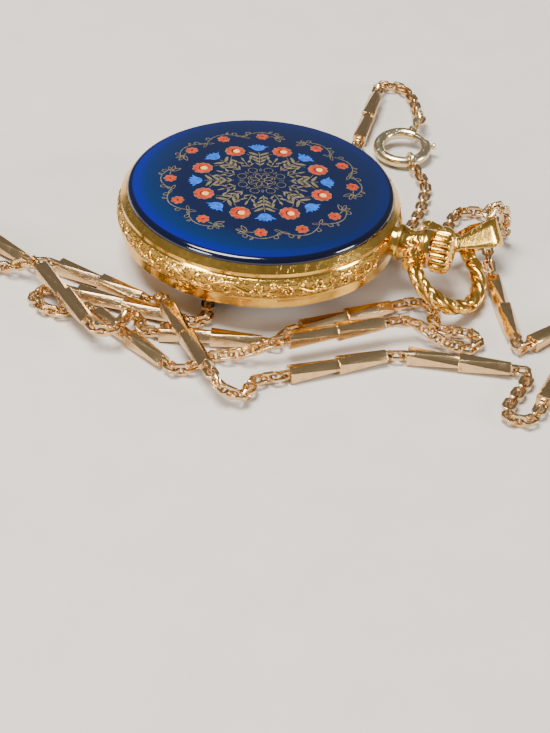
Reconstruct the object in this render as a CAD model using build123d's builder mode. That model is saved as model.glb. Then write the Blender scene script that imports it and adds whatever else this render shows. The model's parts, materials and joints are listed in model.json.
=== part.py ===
from build123d import *
from math import atan2, cos, degrees, hypot, radians, sin, sqrt
import os

# Pendant watch with an enamelled back, lying back up on its own chain.
# Millimetres. The origin is the centre of the crystal's outer face, which looks down.
# +Z is the watch's axis towards the enamelled back. +Y points to the pendant, at 12 o'clock.

# Case
CASE_RADIUS = 14.25
BAND_HEIGHT = 2.6
BAND_WALL = 1.6
BAND_LIP = 0.3
BAND_LIP_STEP = 0.25
BELLY_SHARE = 0.8
GROOVE = 0.12
BEZEL_HEIGHT = 2.25
BEZEL_PROUD = 0.35
BEZEL_FLAT = 0.9
CRYSTAL_RADIUS = 11.0
CRYSTAL_THICKNESS = 0.95
CRYSTAL_BEVEL = 0.45
CRYSTAL_LEDGE = 0.55
LID_HEIGHT = 1.0
LID_BEVEL_WIDTH = 0.6
LID_BEVEL_HEIGHT = 0.65
LID_WALL = 0.6
LID_FLOOR = 0.2
LID_DROP = 0.45
LID_SKIRT = 0.5
DISC_EDGE_RISE = 0.6
DISC_EDGE_RUN = 0.55
DISC_DOME = 0.5
DOME_SHARE = 0.6
SEAT_CLEARANCE = 0.03
OVERRUN = 1.0

# Pendant, bow and bail
BASE_RADIUS = 1.9
WAIST_RADIUS = 1.45
NECK_RADIUS = 1.95
NECK_LENGTH = 3.65
NECK_END = CASE_RADIUS + NECK_LENGTH
NECK_LIP = 0.55
NECK_WAIST_REACH = 1.3
NECK_BORE = 0.75
PIVOT_SETBACK = 1.0
PIVOT_REACH = NECK_END - PIVOT_SETBACK
PIVOT_PIN_RADIUS = 0.4
PIVOT_PIN_HEAD = 0.62
PIVOT_PIN_HEAD_LENGTH = 0.3
BOW_WIRE = 0.88
BOW_EYE_RADIUS = 1.05
BOW_EYE_LENGTH = 1.5
BOW_HALF_WIDTH = 5.1
BOW_LENGTH = 7.4
BOW_DROOP = 35.0
BOW_CENTRE_SHARE = 0.43
BOW_SIDES = 8
BOW_LEAVES = 5
LEAF_RELIEF = 0.16
BAIL_LENGTH = 7.6
BAIL_WIDTH = 3.8
BAIL_NARROW = 3.5
BAIL_WALL = 0.34
BAIL_BAND = 2.8
BAIL_BAND_NARROW = 1.2
BAIL_TURN = 140.0
BAIL_LEAN = 38.0
BAIL_STATION = 2.0
BAIL_SETBACK = 2.7
RUNNING_CLEARANCE = 0.04
SIDE_CLEARANCE = 0.08

# Crown and winding work
CROWN_RADIUS = 2.15
CROWN_LENGTH = 2.1
CROWN_DOME = 0.45
CROWN_DOME_TAPER = 50.0
CROWN_FLUTES = 20
CROWN_FLUTE_DEPTH = 0.17
CROWN_GAP = 0.2
STEM_RADIUS = 0.45
STEM_INNER_END = 7.75
STEM_GROOVE = 0.12
STEM_GROOVE_WIDTH = 0.4
STEM_GROOVE_PLACE = 10.0
WINDING_PINION_RADIUS = 0.92
WINDING_PINION_LENGTH = 0.9
WINDING_PINION_TEETH = 10
CROWN_WHEEL_TEETH = 16
RATCHET_TEETH = 24
WINDING_MODULE = 0.24
WINDING_WHEEL_THICKNESS = 0.2
RECESS_SHARE = 0.3
CLICK_OFFSET = 60.0
CLICK_LENGTH = 1.7
CLICK_WIDTH = 0.5
LEVER_THICKNESS = 0.22
LEVER_LENGTH = 2.2
LEVER_WIDTH = 0.7
LEVER_PIVOT_PLACE = 1.9

# Dial, hands and motion work
DIAL_RADIUS = 11.9
DIAL_THICKNESS = 0.3
DIAL_HOLE = 0.85
HAND_THICKNESS = 0.12
HAND_GAP = 0.28
MINUTE_HAND_LENGTH = 9.2
HOUR_HAND_LENGTH = 6.2
HAND_WIDTH = 0.75
HAND_TAIL = 1.8
HAND_HUB = 0.95
HAND_BROAD_SHARE = 0.55
MINUTE_HAND_TURN = -60.0
HOUR_HAND_TURN = 55.0
MARKER_LENGTH = 1.6
MARKER_WIDTH = 0.45
MARKER_HEIGHT = 0.1
MARKER_CIRCLE = 9.7
MARKER_GAP = 0.15
ARBOR_RADIUS = 0.22
CANNON_RADIUS = 0.5
HOUR_PIPE_RADIUS = 0.75
CANNON_TEETH = 8
MINUTE_WHEEL_TEETH = 24
MINUTE_PINION_TEETH = 6
HOUR_WHEEL_TEETH = 24
CANNON_MODULE = 0.15
HOUR_MODULE = 0.16
MOTION_WHEEL_THICKNESS = 0.14
MOTION_GAP = 0.06
MOTION_SPACE = 0.5

# Plates and bridges
MOVEMENT_RADIUS = 10.5
PLATE_THICKNESS = 0.8
TRAIN_SPACE = 1.25
BRIDGE_THICKNESS = 0.5
BRIDGE_GAP = 0.3
BRIDGE_FOOT_WIDTH = 0.95
PLAY = 0.03
POST_RADIUS = 0.15
SCREW_RADIUS = 0.5
SCREW_HEAD = 0.1
SCREW_SLOT = 0.16
BRIDGE_SPLIT = 20.0
COCK_WIDTH = 1.5
COCK_FOOT_RADIUS = 0.85
COCK_FOOT_REACH = 9.4
COCK_ANGLE = 14.0

# Going train, each wheel with its number of teeth and its module
BARREL_TEETH = 42
CENTRE_PINION_TEETH = 6
BARREL_MODULE = 0.2
BARREL_HEIGHT = 0.7
BARREL_WALL = 0.2
BARREL_SHOULDER = 0.4
CENTRE_TEETH = 48
THIRD_PINION_TEETH = 6
THIRD_TEETH = 45
FOURTH_PINION_TEETH = 6
TRAIN_MODULE = 0.125
FOURTH_TEETH = 60
ESCAPE_PINION_TEETH = 6
FOURTH_MODULE = 0.1
ESCAPE_TEETH = 15
ESCAPE_RADIUS = 2.0
ESCAPE_LEAN_SHARE = 0.8
ESCAPE_ROOT_SHARE = 0.78
WHEEL_THICKNESS = 0.15
ARBOR_SIDES = 8
SPOKES = 4
WINDOW_SHARE = 0.7
HUB_SHARE = 0.3
BARREL_SHAKE = 0.08
BARREL_ARBOR = 0.9
MAINSPRING_SHARE = 0.55
PALLET_SPAN = 1.1
PALLET_DEPTH = 0.55
BALANCE_RADIUS = 3.3
BALANCE_RIM = 0.45
BALANCE_THICKNESS = 0.28
BALANCE_ARM = 0.35
ROLLER_RADIUS = 0.55
FORK_WIDTH = 0.35
HAIRSPRING_TURNS = 3
HAIRSPRING_STRIP = 0.09
HAIRSPRING_SIDES = 12
HAIRSPRING_HEIGHT = 0.12
TOOTH_ROOT_SHARE = 1.15
TOOTH_TIP_SHARE = 0.75
WHEEL_CROSSING_SHARE = 0.78
BARREL_ANGLE = 130.0
THIRD_ANGLE = -60.0
FOURTH_ANGLE = -10.0
ESCAPE_ANGLE = 60.0
PALLET_ANGLE = 75.0
PALLET_REACH = 2.55
MINUTE_WHEEL_ANGLE = -125.0
BALANCE_PLACE = (4.6, 4.6)

# Chain: diamond-cut bars joined by short runs of cable links
BAR_LENGTH = 9.8
BAR_SIZE = 1.5
BAR_END_SHARE = 0.12
BAR_CUT_SHARE = 0.42
EYE_REACH = 0.35
EYE_WIDTH = 1.0
EYE_THICKNESS = 0.42
EYE_HOLE = 0.52
LINK_LENGTH = 1.75
LINK_WIDTH = 1.32
LINK_WIRE = 0.3
LINK_CORNER = 0.36
LINK_PITCH = 0.97
STEPS_A_LINK = 3
SLACK_ROUNDS = 14
SLACK_SHARE = 0.6
FLOOR_DROP = 1.55

# Spring ring clasp
RING_TUBE = 0.62
RING_WALL = 0.2
RING_MIDDLE = 2.65
RING_OPENING = 38.0
RING_OPENING_MIDDLE = 142.0
RING_TILT = 8.0
GATE_RADIUS = 0.36
GATE_TAIL = 46.0
NUB_ANGLE = 10.0
NUB_WIDTH = 0.62
NUB_HEIGHT = 1.15
JUMP_WIRE = 0.2
JUMP_RADIUS = 0.8
END_RING_RADIUS = 1.0
CLASP_PLACE = (-25.2, 8.3, -0.35)
CLASP_EYE_ANGLE = 176.0
CLASP_EYE_REACH = 3.7
EYE_ROOT_SHARE = 0.58
SLOT_MARGIN = 8.0
GATE_OVERLAP = 6.0
CLASP_END_ANGLE = 36.0

# Levels along the watch's axis, from the crystal up
CRYSTAL_INNER = CRYSTAL_THICKNESS
MINUTE_HAND_LEVEL = CRYSTAL_INNER + HAND_GAP + HAND_THICKNESS
HOUR_HAND_LEVEL = MINUTE_HAND_LEVEL + HAND_THICKNESS + HAND_GAP
DIAL_LEVEL = HOUR_HAND_LEVEL + MARKER_HEIGHT + MARKER_GAP
DIAL_TOP = DIAL_LEVEL + DIAL_THICKNESS
PLATE_LEVEL = DIAL_TOP + MOTION_SPACE
PLATE_TOP = PLATE_LEVEL + PLATE_THICKNESS
BRIDGE_LEVEL = PLATE_TOP + TRAIN_SPACE
BRIDGE_TOP = BRIDGE_LEVEL + BRIDGE_THICKNESS
BAND_LEVEL = BEZEL_PROUD + BEZEL_HEIGHT
BAND_TOP = BAND_LEVEL + BAND_HEIGHT
LID_TOP = BAND_TOP + LID_HEIGHT
STEM_LEVEL = BAND_LEVEL + BAND_HEIGHT / 2
LID_FLOOR_LEVEL = BAND_TOP + LID_SKIRT
DISC_LEVEL = LID_FLOOR_LEVEL + LID_FLOOR
FLOOR_LEVEL = -FLOOR_DROP

# Radii and places that follow from the sizes above
BAND_INNER = CASE_RADIUS - BAND_WALL
LID_RADIUS = CASE_RADIUS - BAND_LIP_STEP
DISC_RADIUS = LID_RADIUS - LID_BEVEL_WIDTH
CROWN_START = NECK_END + CROWN_GAP
CROWN_END = CROWN_START + CROWN_LENGTH


def polar(radius, angle):
    """The point at this distance and angle from the watch's axis."""
    return (radius * cos(radians(angle)), radius * sin(radians(angle)))


def onward(place, distance, angle):
    """The point at this distance and angle from another point."""
    x, y = polar(distance, angle)
    return (place[0] + x, place[1] + y)


def pitch_radius(teeth, module):
    return teeth * module / 2


def reach(teeth_a, teeth_b, module):
    """The distance between the arbors of two wheels in mesh."""
    return pitch_radius(teeth_a + teeth_b, module)


def tooth_points(teeth, module, root_share=TOOTH_ROOT_SHARE, tip_share=TOOTH_TIP_SHARE):
    """A wheel's outline: a tip and a root for each tooth."""
    middle = pitch_radius(teeth, module)
    tip, root = middle + tip_share * module, middle - root_share * module
    step = 360 / teeth
    points = []
    for tooth in range(teeth):
        points.append(polar(tip, tooth * step))
        points.append(polar(root, (tooth + 0.5) * step))
    return points


def mesh_turn(teeth_a, turn_a, angle, teeth_b):
    """The turn at which wheel b, which lies at this angle from wheel a, has a gap at a's tooth."""
    return angle + 180 - (180 - teeth_a * (angle - turn_a)) / teeth_b


def save(builder, name):
    builder.part.label = name
    export_step(builder.part, f"parts/{name}.step")


def save_group(solids, name):
    """Save separate solids, none of which touches another, as one piece."""
    export_step(Compound(label=name, children=solids), f"parts/{name}.step")


os.makedirs("parts", exist_ok=True)

THIRD_PLACE = polar(reach(CENTRE_TEETH, THIRD_PINION_TEETH, TRAIN_MODULE), THIRD_ANGLE)
FOURTH_REACH = reach(THIRD_TEETH, FOURTH_PINION_TEETH, TRAIN_MODULE)
FOURTH_PLACE = onward(THIRD_PLACE, FOURTH_REACH, FOURTH_ANGLE)
ESCAPE_REACH = reach(FOURTH_TEETH, ESCAPE_PINION_TEETH, FOURTH_MODULE)
ESCAPE_PLACE = onward(FOURTH_PLACE, ESCAPE_REACH, ESCAPE_ANGLE)
PALLET_PLACE = onward(ESCAPE_PLACE, PALLET_REACH, PALLET_ANGLE)
BARREL_PLACE = polar(reach(BARREL_TEETH, CENTRE_PINION_TEETH, BARREL_MODULE), BARREL_ANGLE)
MINUTE_WHEEL_REACH = reach(CANNON_TEETH, MINUTE_WHEEL_TEETH, CANNON_MODULE)
MINUTE_WHEEL_PLACE = polar(MINUTE_WHEEL_REACH, MINUTE_WHEEL_ANGLE)
CROWN_WHEEL_REACH = reach(RATCHET_TEETH, CROWN_WHEEL_TEETH, WINDING_MODULE)
CROWN_WHEEL_RISE = sqrt(CROWN_WHEEL_REACH**2 - BARREL_PLACE[0] ** 2)
CROWN_WHEEL_PLACE = (0, BARREL_PLACE[1] + CROWN_WHEEL_RISE)
CROWN_WHEEL_ANGLE = degrees(atan2(CROWN_WHEEL_RISE, -BARREL_PLACE[0]))
WINDING_PINION_START = CROWN_WHEEL_PLACE[1] + pitch_radius(CROWN_WHEEL_TEETH, WINDING_MODULE)
WINDING_PINION_START = WINDING_PINION_START - WINDING_PINION_LENGTH

# Crystal and bezel
with BuildPart() as crystal:
    with BuildSketch(Plane.XZ):
        with BuildLine():
            Polyline(
                (0, 0),
                (CRYSTAL_RADIUS - CRYSTAL_BEVEL * 2, 0),
                (CRYSTAL_RADIUS, CRYSTAL_BEVEL),
                (CRYSTAL_RADIUS, CRYSTAL_THICKNESS),
                (0, CRYSTAL_THICKNESS),
                close=True,
            )
        make_face()
    revolve(axis=Axis.Z)
save(crystal, "crystal")

SEAT_RADIUS = CRYSTAL_RADIUS + SEAT_CLEARANCE
LEDGE_RADIUS = CRYSTAL_RADIUS - CRYSTAL_LEDGE
DIAL_SEAT = DIAL_RADIUS + SEAT_CLEARANCE
with BuildPart() as front_bezel:
    with BuildSketch(Plane.XZ):
        with BuildLine():
            Polyline(
                (SEAT_RADIUS, BEZEL_PROUD),
                (CASE_RADIUS - BAND_LIP, BAND_LEVEL - BEZEL_FLAT),
                (CASE_RADIUS - BAND_LIP, BAND_LEVEL),
                (DIAL_SEAT, BAND_LEVEL),
                (DIAL_SEAT, DIAL_LEVEL),
                (LEDGE_RADIUS, CRYSTAL_THICKNESS + BEZEL_PROUD),
                (LEDGE_RADIUS, CRYSTAL_THICKNESS),
                (SEAT_RADIUS, CRYSTAL_THICKNESS),
                close=True,
            )
        make_face()
    revolve(axis=Axis.Z)
save(front_bezel, "front_bezel")

# Case band with its convex face, its lower lip and the groove under the lid
with BuildPart() as case_middle:
    with BuildSketch(Plane.XZ):
        with BuildLine():
            step = CASE_RADIUS - BAND_LIP_STEP
            belly = CASE_RADIUS - BAND_LIP_STEP * (1 - BELLY_SHARE)
            arc_low = BAND_LEVEL + BAND_LIP
            arc_high = BAND_TOP - BAND_LIP
            Polyline(
                (BAND_INNER, BAND_TOP),
                (BAND_INNER, BAND_LEVEL),
                (step, BAND_LEVEL),
                (step, arc_low),
                (belly, (arc_low + STEM_LEVEL) / 2),
                (CASE_RADIUS, STEM_LEVEL),
                (belly, (arc_high + STEM_LEVEL) / 2),
                (step, arc_high),
                (step - GROOVE, BAND_TOP - GROOVE),
                (step, BAND_TOP),
                close=True,
            )
        make_face()
    revolve(axis=Axis.Z)
    SPIGOT_SEAT = BAND_INNER + BAND_WALL / 2
    SPIGOT_RADIUS = BAND_HEIGHT / 2 - GROOVE
    with BuildSketch(Plane.XZ.offset(-SPIGOT_SEAT)):
        with Locations((0, STEM_LEVEL)):
            Circle(SPIGOT_RADIUS + SEAT_CLEARANCE)
    extrude(amount=-BAND_WALL, mode=Mode.SUBTRACT)
    with BuildSketch(Plane.XZ.offset(-BAND_INNER + BAND_WALL)):
        with Locations((0, STEM_LEVEL)):
            Circle(NECK_BORE)
    extrude(amount=-BAND_WALL * 3, mode=Mode.SUBTRACT)
save(case_middle, "case_middle")

# Snap-on lid with its polished bevel, and the enamelled disc that it carries
LID_INNER = DISC_RADIUS + SEAT_CLEARANCE
SKIRT_RADIUS = BAND_INNER - SEAT_CLEARANCE
with BuildPart() as back_lid:
    with BuildSketch(Plane.XZ):
        with BuildLine():
            Polyline(
                (0, LID_FLOOR_LEVEL),
                (SKIRT_RADIUS - LID_WALL, LID_FLOOR_LEVEL),
                (SKIRT_RADIUS - LID_WALL, BAND_TOP - LID_DROP),
                (SKIRT_RADIUS, BAND_TOP - LID_DROP),
                (SKIRT_RADIUS, BAND_TOP),
                (LID_RADIUS, BAND_TOP),
                (LID_RADIUS, LID_TOP - LID_BEVEL_HEIGHT),
                (LID_INNER, LID_TOP),
                (LID_INNER, DISC_LEVEL),
                (0, DISC_LEVEL),
                close=True,
            )
        make_face()
    revolve(axis=Axis.Z)
save(back_lid, "back_lid")

with BuildPart() as enamel_disc:
    with BuildSketch(Plane.XZ):
        with BuildLine():
            shoulder = DISC_RADIUS - DISC_EDGE_RUN
            shoulder_level = LID_TOP + DISC_EDGE_RISE
            crest = shoulder_level + DISC_DOME
            Polyline(
                (0, DISC_LEVEL),
                (DISC_RADIUS, DISC_LEVEL),
                (DISC_RADIUS, LID_TOP),
                (shoulder, shoulder_level),
                (shoulder * DOME_SHARE, shoulder_level + DISC_DOME * (1 - DOME_SHARE**2)),
                (0, crest),
                close=True,
            )
        make_face()
    revolve(axis=Axis.Z)
save(enamel_disc, "enamel_disc")

# Pendant neck: a turned tube with its spigot in the band and a bell at the crown
BASE_REACH = CASE_RADIUS + NECK_LIP / 2
with BuildPart() as pendant_neck:
    with BuildSketch(Plane.YZ):
        with BuildLine():
            Polyline(
                (SPIGOT_SEAT, STEM_LEVEL + NECK_BORE),
                (SPIGOT_SEAT, STEM_LEVEL + SPIGOT_RADIUS),
                (BASE_REACH, STEM_LEVEL + SPIGOT_RADIUS),
                (BASE_REACH, STEM_LEVEL + BASE_RADIUS),
                (BASE_REACH + NECK_WAIST_REACH, STEM_LEVEL + WAIST_RADIUS),
                (NECK_END - NECK_LIP, STEM_LEVEL + NECK_RADIUS),
                (NECK_END, STEM_LEVEL + NECK_RADIUS),
                (NECK_END, STEM_LEVEL + NECK_BORE),
                close=True,
            )
        make_face()
    revolve(axis=Axis((0, 0, STEM_LEVEL), (0, 1, 0)))
    with BuildSketch(Plane.YZ):
        with Locations((PIVOT_REACH, STEM_LEVEL)):
            Circle(PIVOT_PIN_RADIUS)
    extrude(amount=NECK_RADIUS * 2, both=True, mode=Mode.SUBTRACT)
save(pendant_neck, "pendant_neck")

# Two headed pins, fast in the neck, that the bow's eyes turn on
EYE_START = NECK_RADIUS + SIDE_CLEARANCE * 2
EYE_END = EYE_START + BOW_EYE_LENGTH
with BuildPart() as bow_pins:
    with BuildSketch(Plane.YZ.offset(NECK_BORE + SIDE_CLEARANCE)):
        with Locations((PIVOT_REACH, STEM_LEVEL)):
            Circle(PIVOT_PIN_RADIUS)
    extrude(amount=EYE_END - NECK_BORE)
    with BuildSketch(Plane.YZ.offset(EYE_END + SIDE_CLEARANCE)):
        with Locations((PIVOT_REACH, STEM_LEVEL)):
            Circle(PIVOT_PIN_HEAD)
    extrude(amount=PIVOT_PIN_HEAD_LENGTH)
    mirror(about=Plane.YZ)
save(bow_pins, "bow_pins")

# Bow: a stirrup of thick wire that swells and narrows like the carved leaves on it
# Its own plane holds +X and the way from the pivot to the outer end
BOW_PLANE = Plane(
    origin=(0, PIVOT_REACH, STEM_LEVEL),
    x_dir=(1, 0, 0),
    z_dir=(0, sin(radians(BOW_DROOP)), cos(radians(BOW_DROOP))),
)
EYE_MIDDLE = (EYE_START + EYE_END) / 2
BOW_CENTRE = BOW_LENGTH * BOW_CENTRE_SHARE
BOW_RISE = BOW_LENGTH - BOW_CENTRE
BOW_START = -degrees(atan2(BOW_CENTRE / BOW_RISE, EYE_MIDDLE / BOW_HALF_WIDTH))


def bow_point(angle):
    """A point of the bow's centre line, in the bow's plane, and the way it runs there."""
    turn = radians(angle)
    place = (BOW_HALF_WIDTH * cos(turn), BOW_CENTRE + BOW_RISE * sin(turn))
    way = (-BOW_HALF_WIDTH * sin(turn), BOW_RISE * cos(turn))
    return place, way


with BuildPart() as bow:
    stations = BOW_LEAVES * 4
    span = 180 - 2 * BOW_START
    for station in range(stations + 1):
        place, way = bow_point(BOW_START + span * station / stations)
        swell = BOW_WIRE * (1 - LEAF_RELIEF * (station % 2))
        cut = Plane(
            origin=BOW_PLANE.from_local_coords((*place, 0)),
            x_dir=BOW_PLANE.z_dir,
            z_dir=BOW_PLANE.from_local_coords((*way, 0)) - BOW_PLANE.origin,
        )
        with BuildSketch(cut):
            RegularPolygon(swell, BOW_SIDES)
    loft(ruled=True)
    with BuildSketch(Plane.YZ.offset(EYE_START)):
        with Locations((PIVOT_REACH, STEM_LEVEL)):
            Circle(BOW_EYE_RADIUS)
    extrude(amount=BOW_EYE_LENGTH)
    with BuildSketch(Plane.YZ.offset(-EYE_START)):
        with Locations((PIVOT_REACH, STEM_LEVEL)):
            Circle(BOW_EYE_RADIUS)
    extrude(amount=-BOW_EYE_LENGTH)
    with BuildSketch(Plane.YZ):
        with Locations((PIVOT_REACH, STEM_LEVEL)):
            Circle(PIVOT_PIN_RADIUS + RUNNING_CLEARANCE)
    extrude(amount=EYE_END + OVERRUN, both=True, mode=Mode.SUBTRACT)
    for side in (-1, 1):
        with BuildSketch(Plane.YZ.offset(side * EYE_START)):
            with Locations((PIVOT_REACH, STEM_LEVEL)):
                Circle(BOW_EYE_RADIUS * 2)
        extrude(amount=-side * OVERRUN, mode=Mode.SUBTRACT)
        with BuildSketch(Plane.YZ.offset(side * EYE_END)):
            with Locations((PIVOT_REACH, STEM_LEVEL)):
                Circle(PIVOT_PIN_HEAD + RUNNING_CLEARANCE * 2)
        extrude(amount=side * OVERRUN, mode=Mode.SUBTRACT)
save(bow, "bow")

# Bail: a flat band bent to a tapering loop round the bow's arm, lying on its side
BAIL_ANGLE = 180 - BAIL_STATION
BAIL_ARM = BOW_PLANE.from_local_coords((*bow_point(BAIL_ANGLE)[0], 0))
BAIL_PLANE = Plane(
    origin=BAIL_ARM,
    x_dir=(*polar(1, BAIL_TURN), 0),
    z_dir=(*polar(sin(radians(BAIL_LEAN)), BAIL_TURN + 90), cos(radians(BAIL_LEAN))),
)
NARROW_CENTRE = BAIL_NARROW / 2 - BAIL_SETBACK
WIDE_CENTRE = BAIL_LENGTH - BAIL_WIDTH / 2 - BAIL_SETBACK
with BuildPart() as bail:
    with BuildSketch(BAIL_PLANE):
        with Locations((NARROW_CENTRE, 0)):
            Circle(BAIL_NARROW / 2)
        with Locations((WIDE_CENTRE, 0)):
            Circle(BAIL_WIDTH / 2)
        make_hull()
    extrude(amount=BAIL_BAND / 2, both=True)
    with BuildSketch(BAIL_PLANE):
        with Locations((NARROW_CENTRE, 0)):
            Circle(BAIL_NARROW / 2 - BAIL_WALL)
        with Locations((WIDE_CENTRE, 0)):
            Circle(BAIL_WIDTH / 2 - BAIL_WALL)
        make_hull()
    extrude(amount=BAIL_BAND, both=True, mode=Mode.SUBTRACT)
    side_plane = Plane(
        origin=BAIL_PLANE.origin,
        x_dir=BAIL_PLANE.x_dir,
        z_dir=(-BAIL_PLANE.y_dir),
    )
    with BuildSketch(side_plane):
        with BuildLine():
            Polyline(
                (-BAIL_LENGTH, BAIL_BAND_NARROW / 2),
                (NARROW_CENTRE, BAIL_BAND_NARROW / 2),
                (WIDE_CENTRE, BAIL_BAND / 2),
                (BAIL_LENGTH, BAIL_BAND / 2),
                (BAIL_LENGTH, -BAIL_BAND / 2),
                (WIDE_CENTRE, -BAIL_BAND / 2),
                (NARROW_CENTRE, -BAIL_BAND_NARROW / 2),
                (-BAIL_LENGTH, -BAIL_BAND_NARROW / 2),
                close=True,
            )
        make_face()
    extrude(amount=BAIL_WIDTH, both=True, mode=Mode.INTERSECT)
save(bail, "bail")

# Crown with its rounded flutes and domed end, and the stem inside it
with BuildPart() as crown:
    with BuildSketch(Plane.XZ.offset(-CROWN_START)):
        with Locations((0, STEM_LEVEL)):
            flutes = []
            for flute in range(CROWN_FLUTES):
                flutes.append(polar(CROWN_RADIUS, 360 * flute / CROWN_FLUTES))
                flutes.append(
                    polar(CROWN_RADIUS - CROWN_FLUTE_DEPTH, 360 * (flute + 0.5) / CROWN_FLUTES)
                )
            Polygon(*flutes, align=None)
    extrude(amount=-CROWN_LENGTH)
    with BuildSketch(Plane.XZ.offset(-CROWN_END)):
        with Locations((0, STEM_LEVEL)):
            Circle(CROWN_RADIUS - CROWN_FLUTE_DEPTH * 2)
    extrude(amount=-CROWN_DOME, taper=CROWN_DOME_TAPER)
    with BuildSketch(Plane.XZ.offset(-CROWN_START)):
        with Locations((0, STEM_LEVEL)):
            Circle(STEM_RADIUS + SEAT_CLEARANCE)
    extrude(amount=-CROWN_LENGTH, mode=Mode.SUBTRACT)
save(crown, "crown")

with BuildPart() as winding_stem:
    with BuildSketch(Plane.YZ):
        with BuildLine():
            groove_start = STEM_GROOVE_PLACE - STEM_GROOVE_WIDTH / 2
            groove_end = STEM_GROOVE_PLACE + STEM_GROOVE_WIDTH / 2
            Polyline(
                (STEM_INNER_END, STEM_LEVEL),
                (STEM_INNER_END, STEM_LEVEL + STEM_RADIUS),
                (groove_start, STEM_LEVEL + STEM_RADIUS),
                (groove_start, STEM_LEVEL + STEM_RADIUS - STEM_GROOVE),
                (groove_end, STEM_LEVEL + STEM_RADIUS - STEM_GROOVE),
                (groove_end, STEM_LEVEL + STEM_RADIUS),
                (CROWN_END - PLAY, STEM_LEVEL + STEM_RADIUS),
                (CROWN_END - PLAY, STEM_LEVEL),
                close=True,
            )
        make_face()
    revolve(axis=Axis((0, 0, STEM_LEVEL), (0, 1, 0)))
save(winding_stem, "winding_stem")

# Winding and setting work
with BuildPart() as winding_pinion:
    with BuildSketch(Plane.XZ.offset(-WINDING_PINION_START)):
        with Locations((0, STEM_LEVEL)):
            pinion_module = WINDING_PINION_RADIUS * 2 / WINDING_PINION_TEETH
            Polygon(*tooth_points(WINDING_PINION_TEETH, pinion_module, 1, 0), align=None)
            Circle(STEM_RADIUS + RUNNING_CLEARANCE, mode=Mode.SUBTRACT)
    extrude(amount=-WINDING_PINION_LENGTH)
save(winding_pinion, "winding_pinion")

WINDING_LEVEL = BRIDGE_TOP + PLAY
RECESS_LEVEL = BRIDGE_LEVEL + BRIDGE_THICKNESS * RECESS_SHARE
RATCHET_TURN = CROWN_WHEEL_ANGLE
CROWN_WHEEL_TURN = mesh_turn(RATCHET_TEETH, RATCHET_TURN, CROWN_WHEEL_ANGLE, CROWN_WHEEL_TEETH)
with BuildPart() as crown_wheel:
    with BuildSketch(Plane.XY.offset(RECESS_LEVEL + PLAY)):
        with Locations(Location((*CROWN_WHEEL_PLACE, 0), (0, 0, CROWN_WHEEL_TURN))):
            Polygon(*tooth_points(CROWN_WHEEL_TEETH, WINDING_MODULE), align=None)
            Circle(SCREW_RADIUS + RUNNING_CLEARANCE, mode=Mode.SUBTRACT)
    extrude(amount=WINDING_LEVEL + WINDING_WHEEL_THICKNESS - RECESS_LEVEL - PLAY)
save(crown_wheel, "crown_wheel")

with BuildPart() as ratchet_wheel:
    with BuildSketch(Plane.XY.offset(WINDING_LEVEL)):
        with Locations(Location((*BARREL_PLACE, 0), (0, 0, RATCHET_TURN))):
            Polygon(*tooth_points(RATCHET_TEETH, WINDING_MODULE), align=None)
    extrude(amount=WINDING_WHEEL_THICKNESS)
save(ratchet_wheel, "ratchet_wheel")

CLICK_TURN = BARREL_ANGLE + CLICK_OFFSET
RATCHET_TIP = pitch_radius(RATCHET_TEETH, WINDING_MODULE) + TOOTH_TIP_SHARE * WINDING_MODULE
CLICK_PIVOT = onward(BARREL_PLACE, RATCHET_TIP + CLICK_WIDTH, CLICK_TURN)
with BuildPart() as click:
    with BuildSketch(Plane.XY.offset(WINDING_LEVEL)):
        with Locations(Location((*CLICK_PIVOT, 0), (0, 0, CLICK_TURN - 90))):
            Polygon(
                (0, CLICK_WIDTH / 2),
                (-CLICK_LENGTH / 2, CLICK_WIDTH / 2),
                (-CLICK_LENGTH, -CLICK_WIDTH / 2),
                (-CLICK_LENGTH / 2, -CLICK_WIDTH / 4),
                (CLICK_WIDTH / 2, -CLICK_WIDTH / 4),
                align=None,
            )
    extrude(amount=WINDING_WHEEL_THICKNESS)
save(click, "click")

LEVER_PIVOT = (LEVER_PIVOT_PLACE, STEM_GROOVE_PLACE - LEVER_LENGTH / 2)
LEVER_LEVEL = PLATE_TOP + PLAY
with BuildPart() as setting_lever:
    with BuildSketch(Plane.XY.offset(LEVER_LEVEL)):
        Polygon(
            (LEVER_PIVOT[0] + LEVER_WIDTH / 2, LEVER_PIVOT[1] - LEVER_WIDTH / 2),
            (LEVER_PIVOT[0] + LEVER_WIDTH / 2, STEM_GROOVE_PLACE - LEVER_WIDTH / 2),
            (STEM_RADIUS + PLAY, STEM_GROOVE_PLACE + STEM_GROOVE),
            (STEM_RADIUS + PLAY, STEM_GROOVE_PLACE - STEM_GROOVE),
            (LEVER_PIVOT[0] - LEVER_WIDTH / 2, LEVER_PIVOT[1] - LEVER_WIDTH / 2),
            align=None,
        )
    extrude(amount=LEVER_THICKNESS)
save(setting_lever, "setting_lever")

# Dial, its hour markers, and the hands
with BuildPart() as dial:
    with BuildSketch(Plane.XY.offset(DIAL_LEVEL)):
        Circle(DIAL_RADIUS)
        Circle(DIAL_HOLE, mode=Mode.SUBTRACT)
    extrude(amount=DIAL_THICKNESS)
save(dial, "dial")

with BuildPart() as hour_markers:
    with BuildSketch(Plane.XY.offset(DIAL_LEVEL)):
        with PolarLocations(MARKER_CIRCLE, 12):
            Rectangle(MARKER_LENGTH, MARKER_WIDTH)
    extrude(amount=-MARKER_HEIGHT)
save(hour_markers, "hour_markers")


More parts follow.
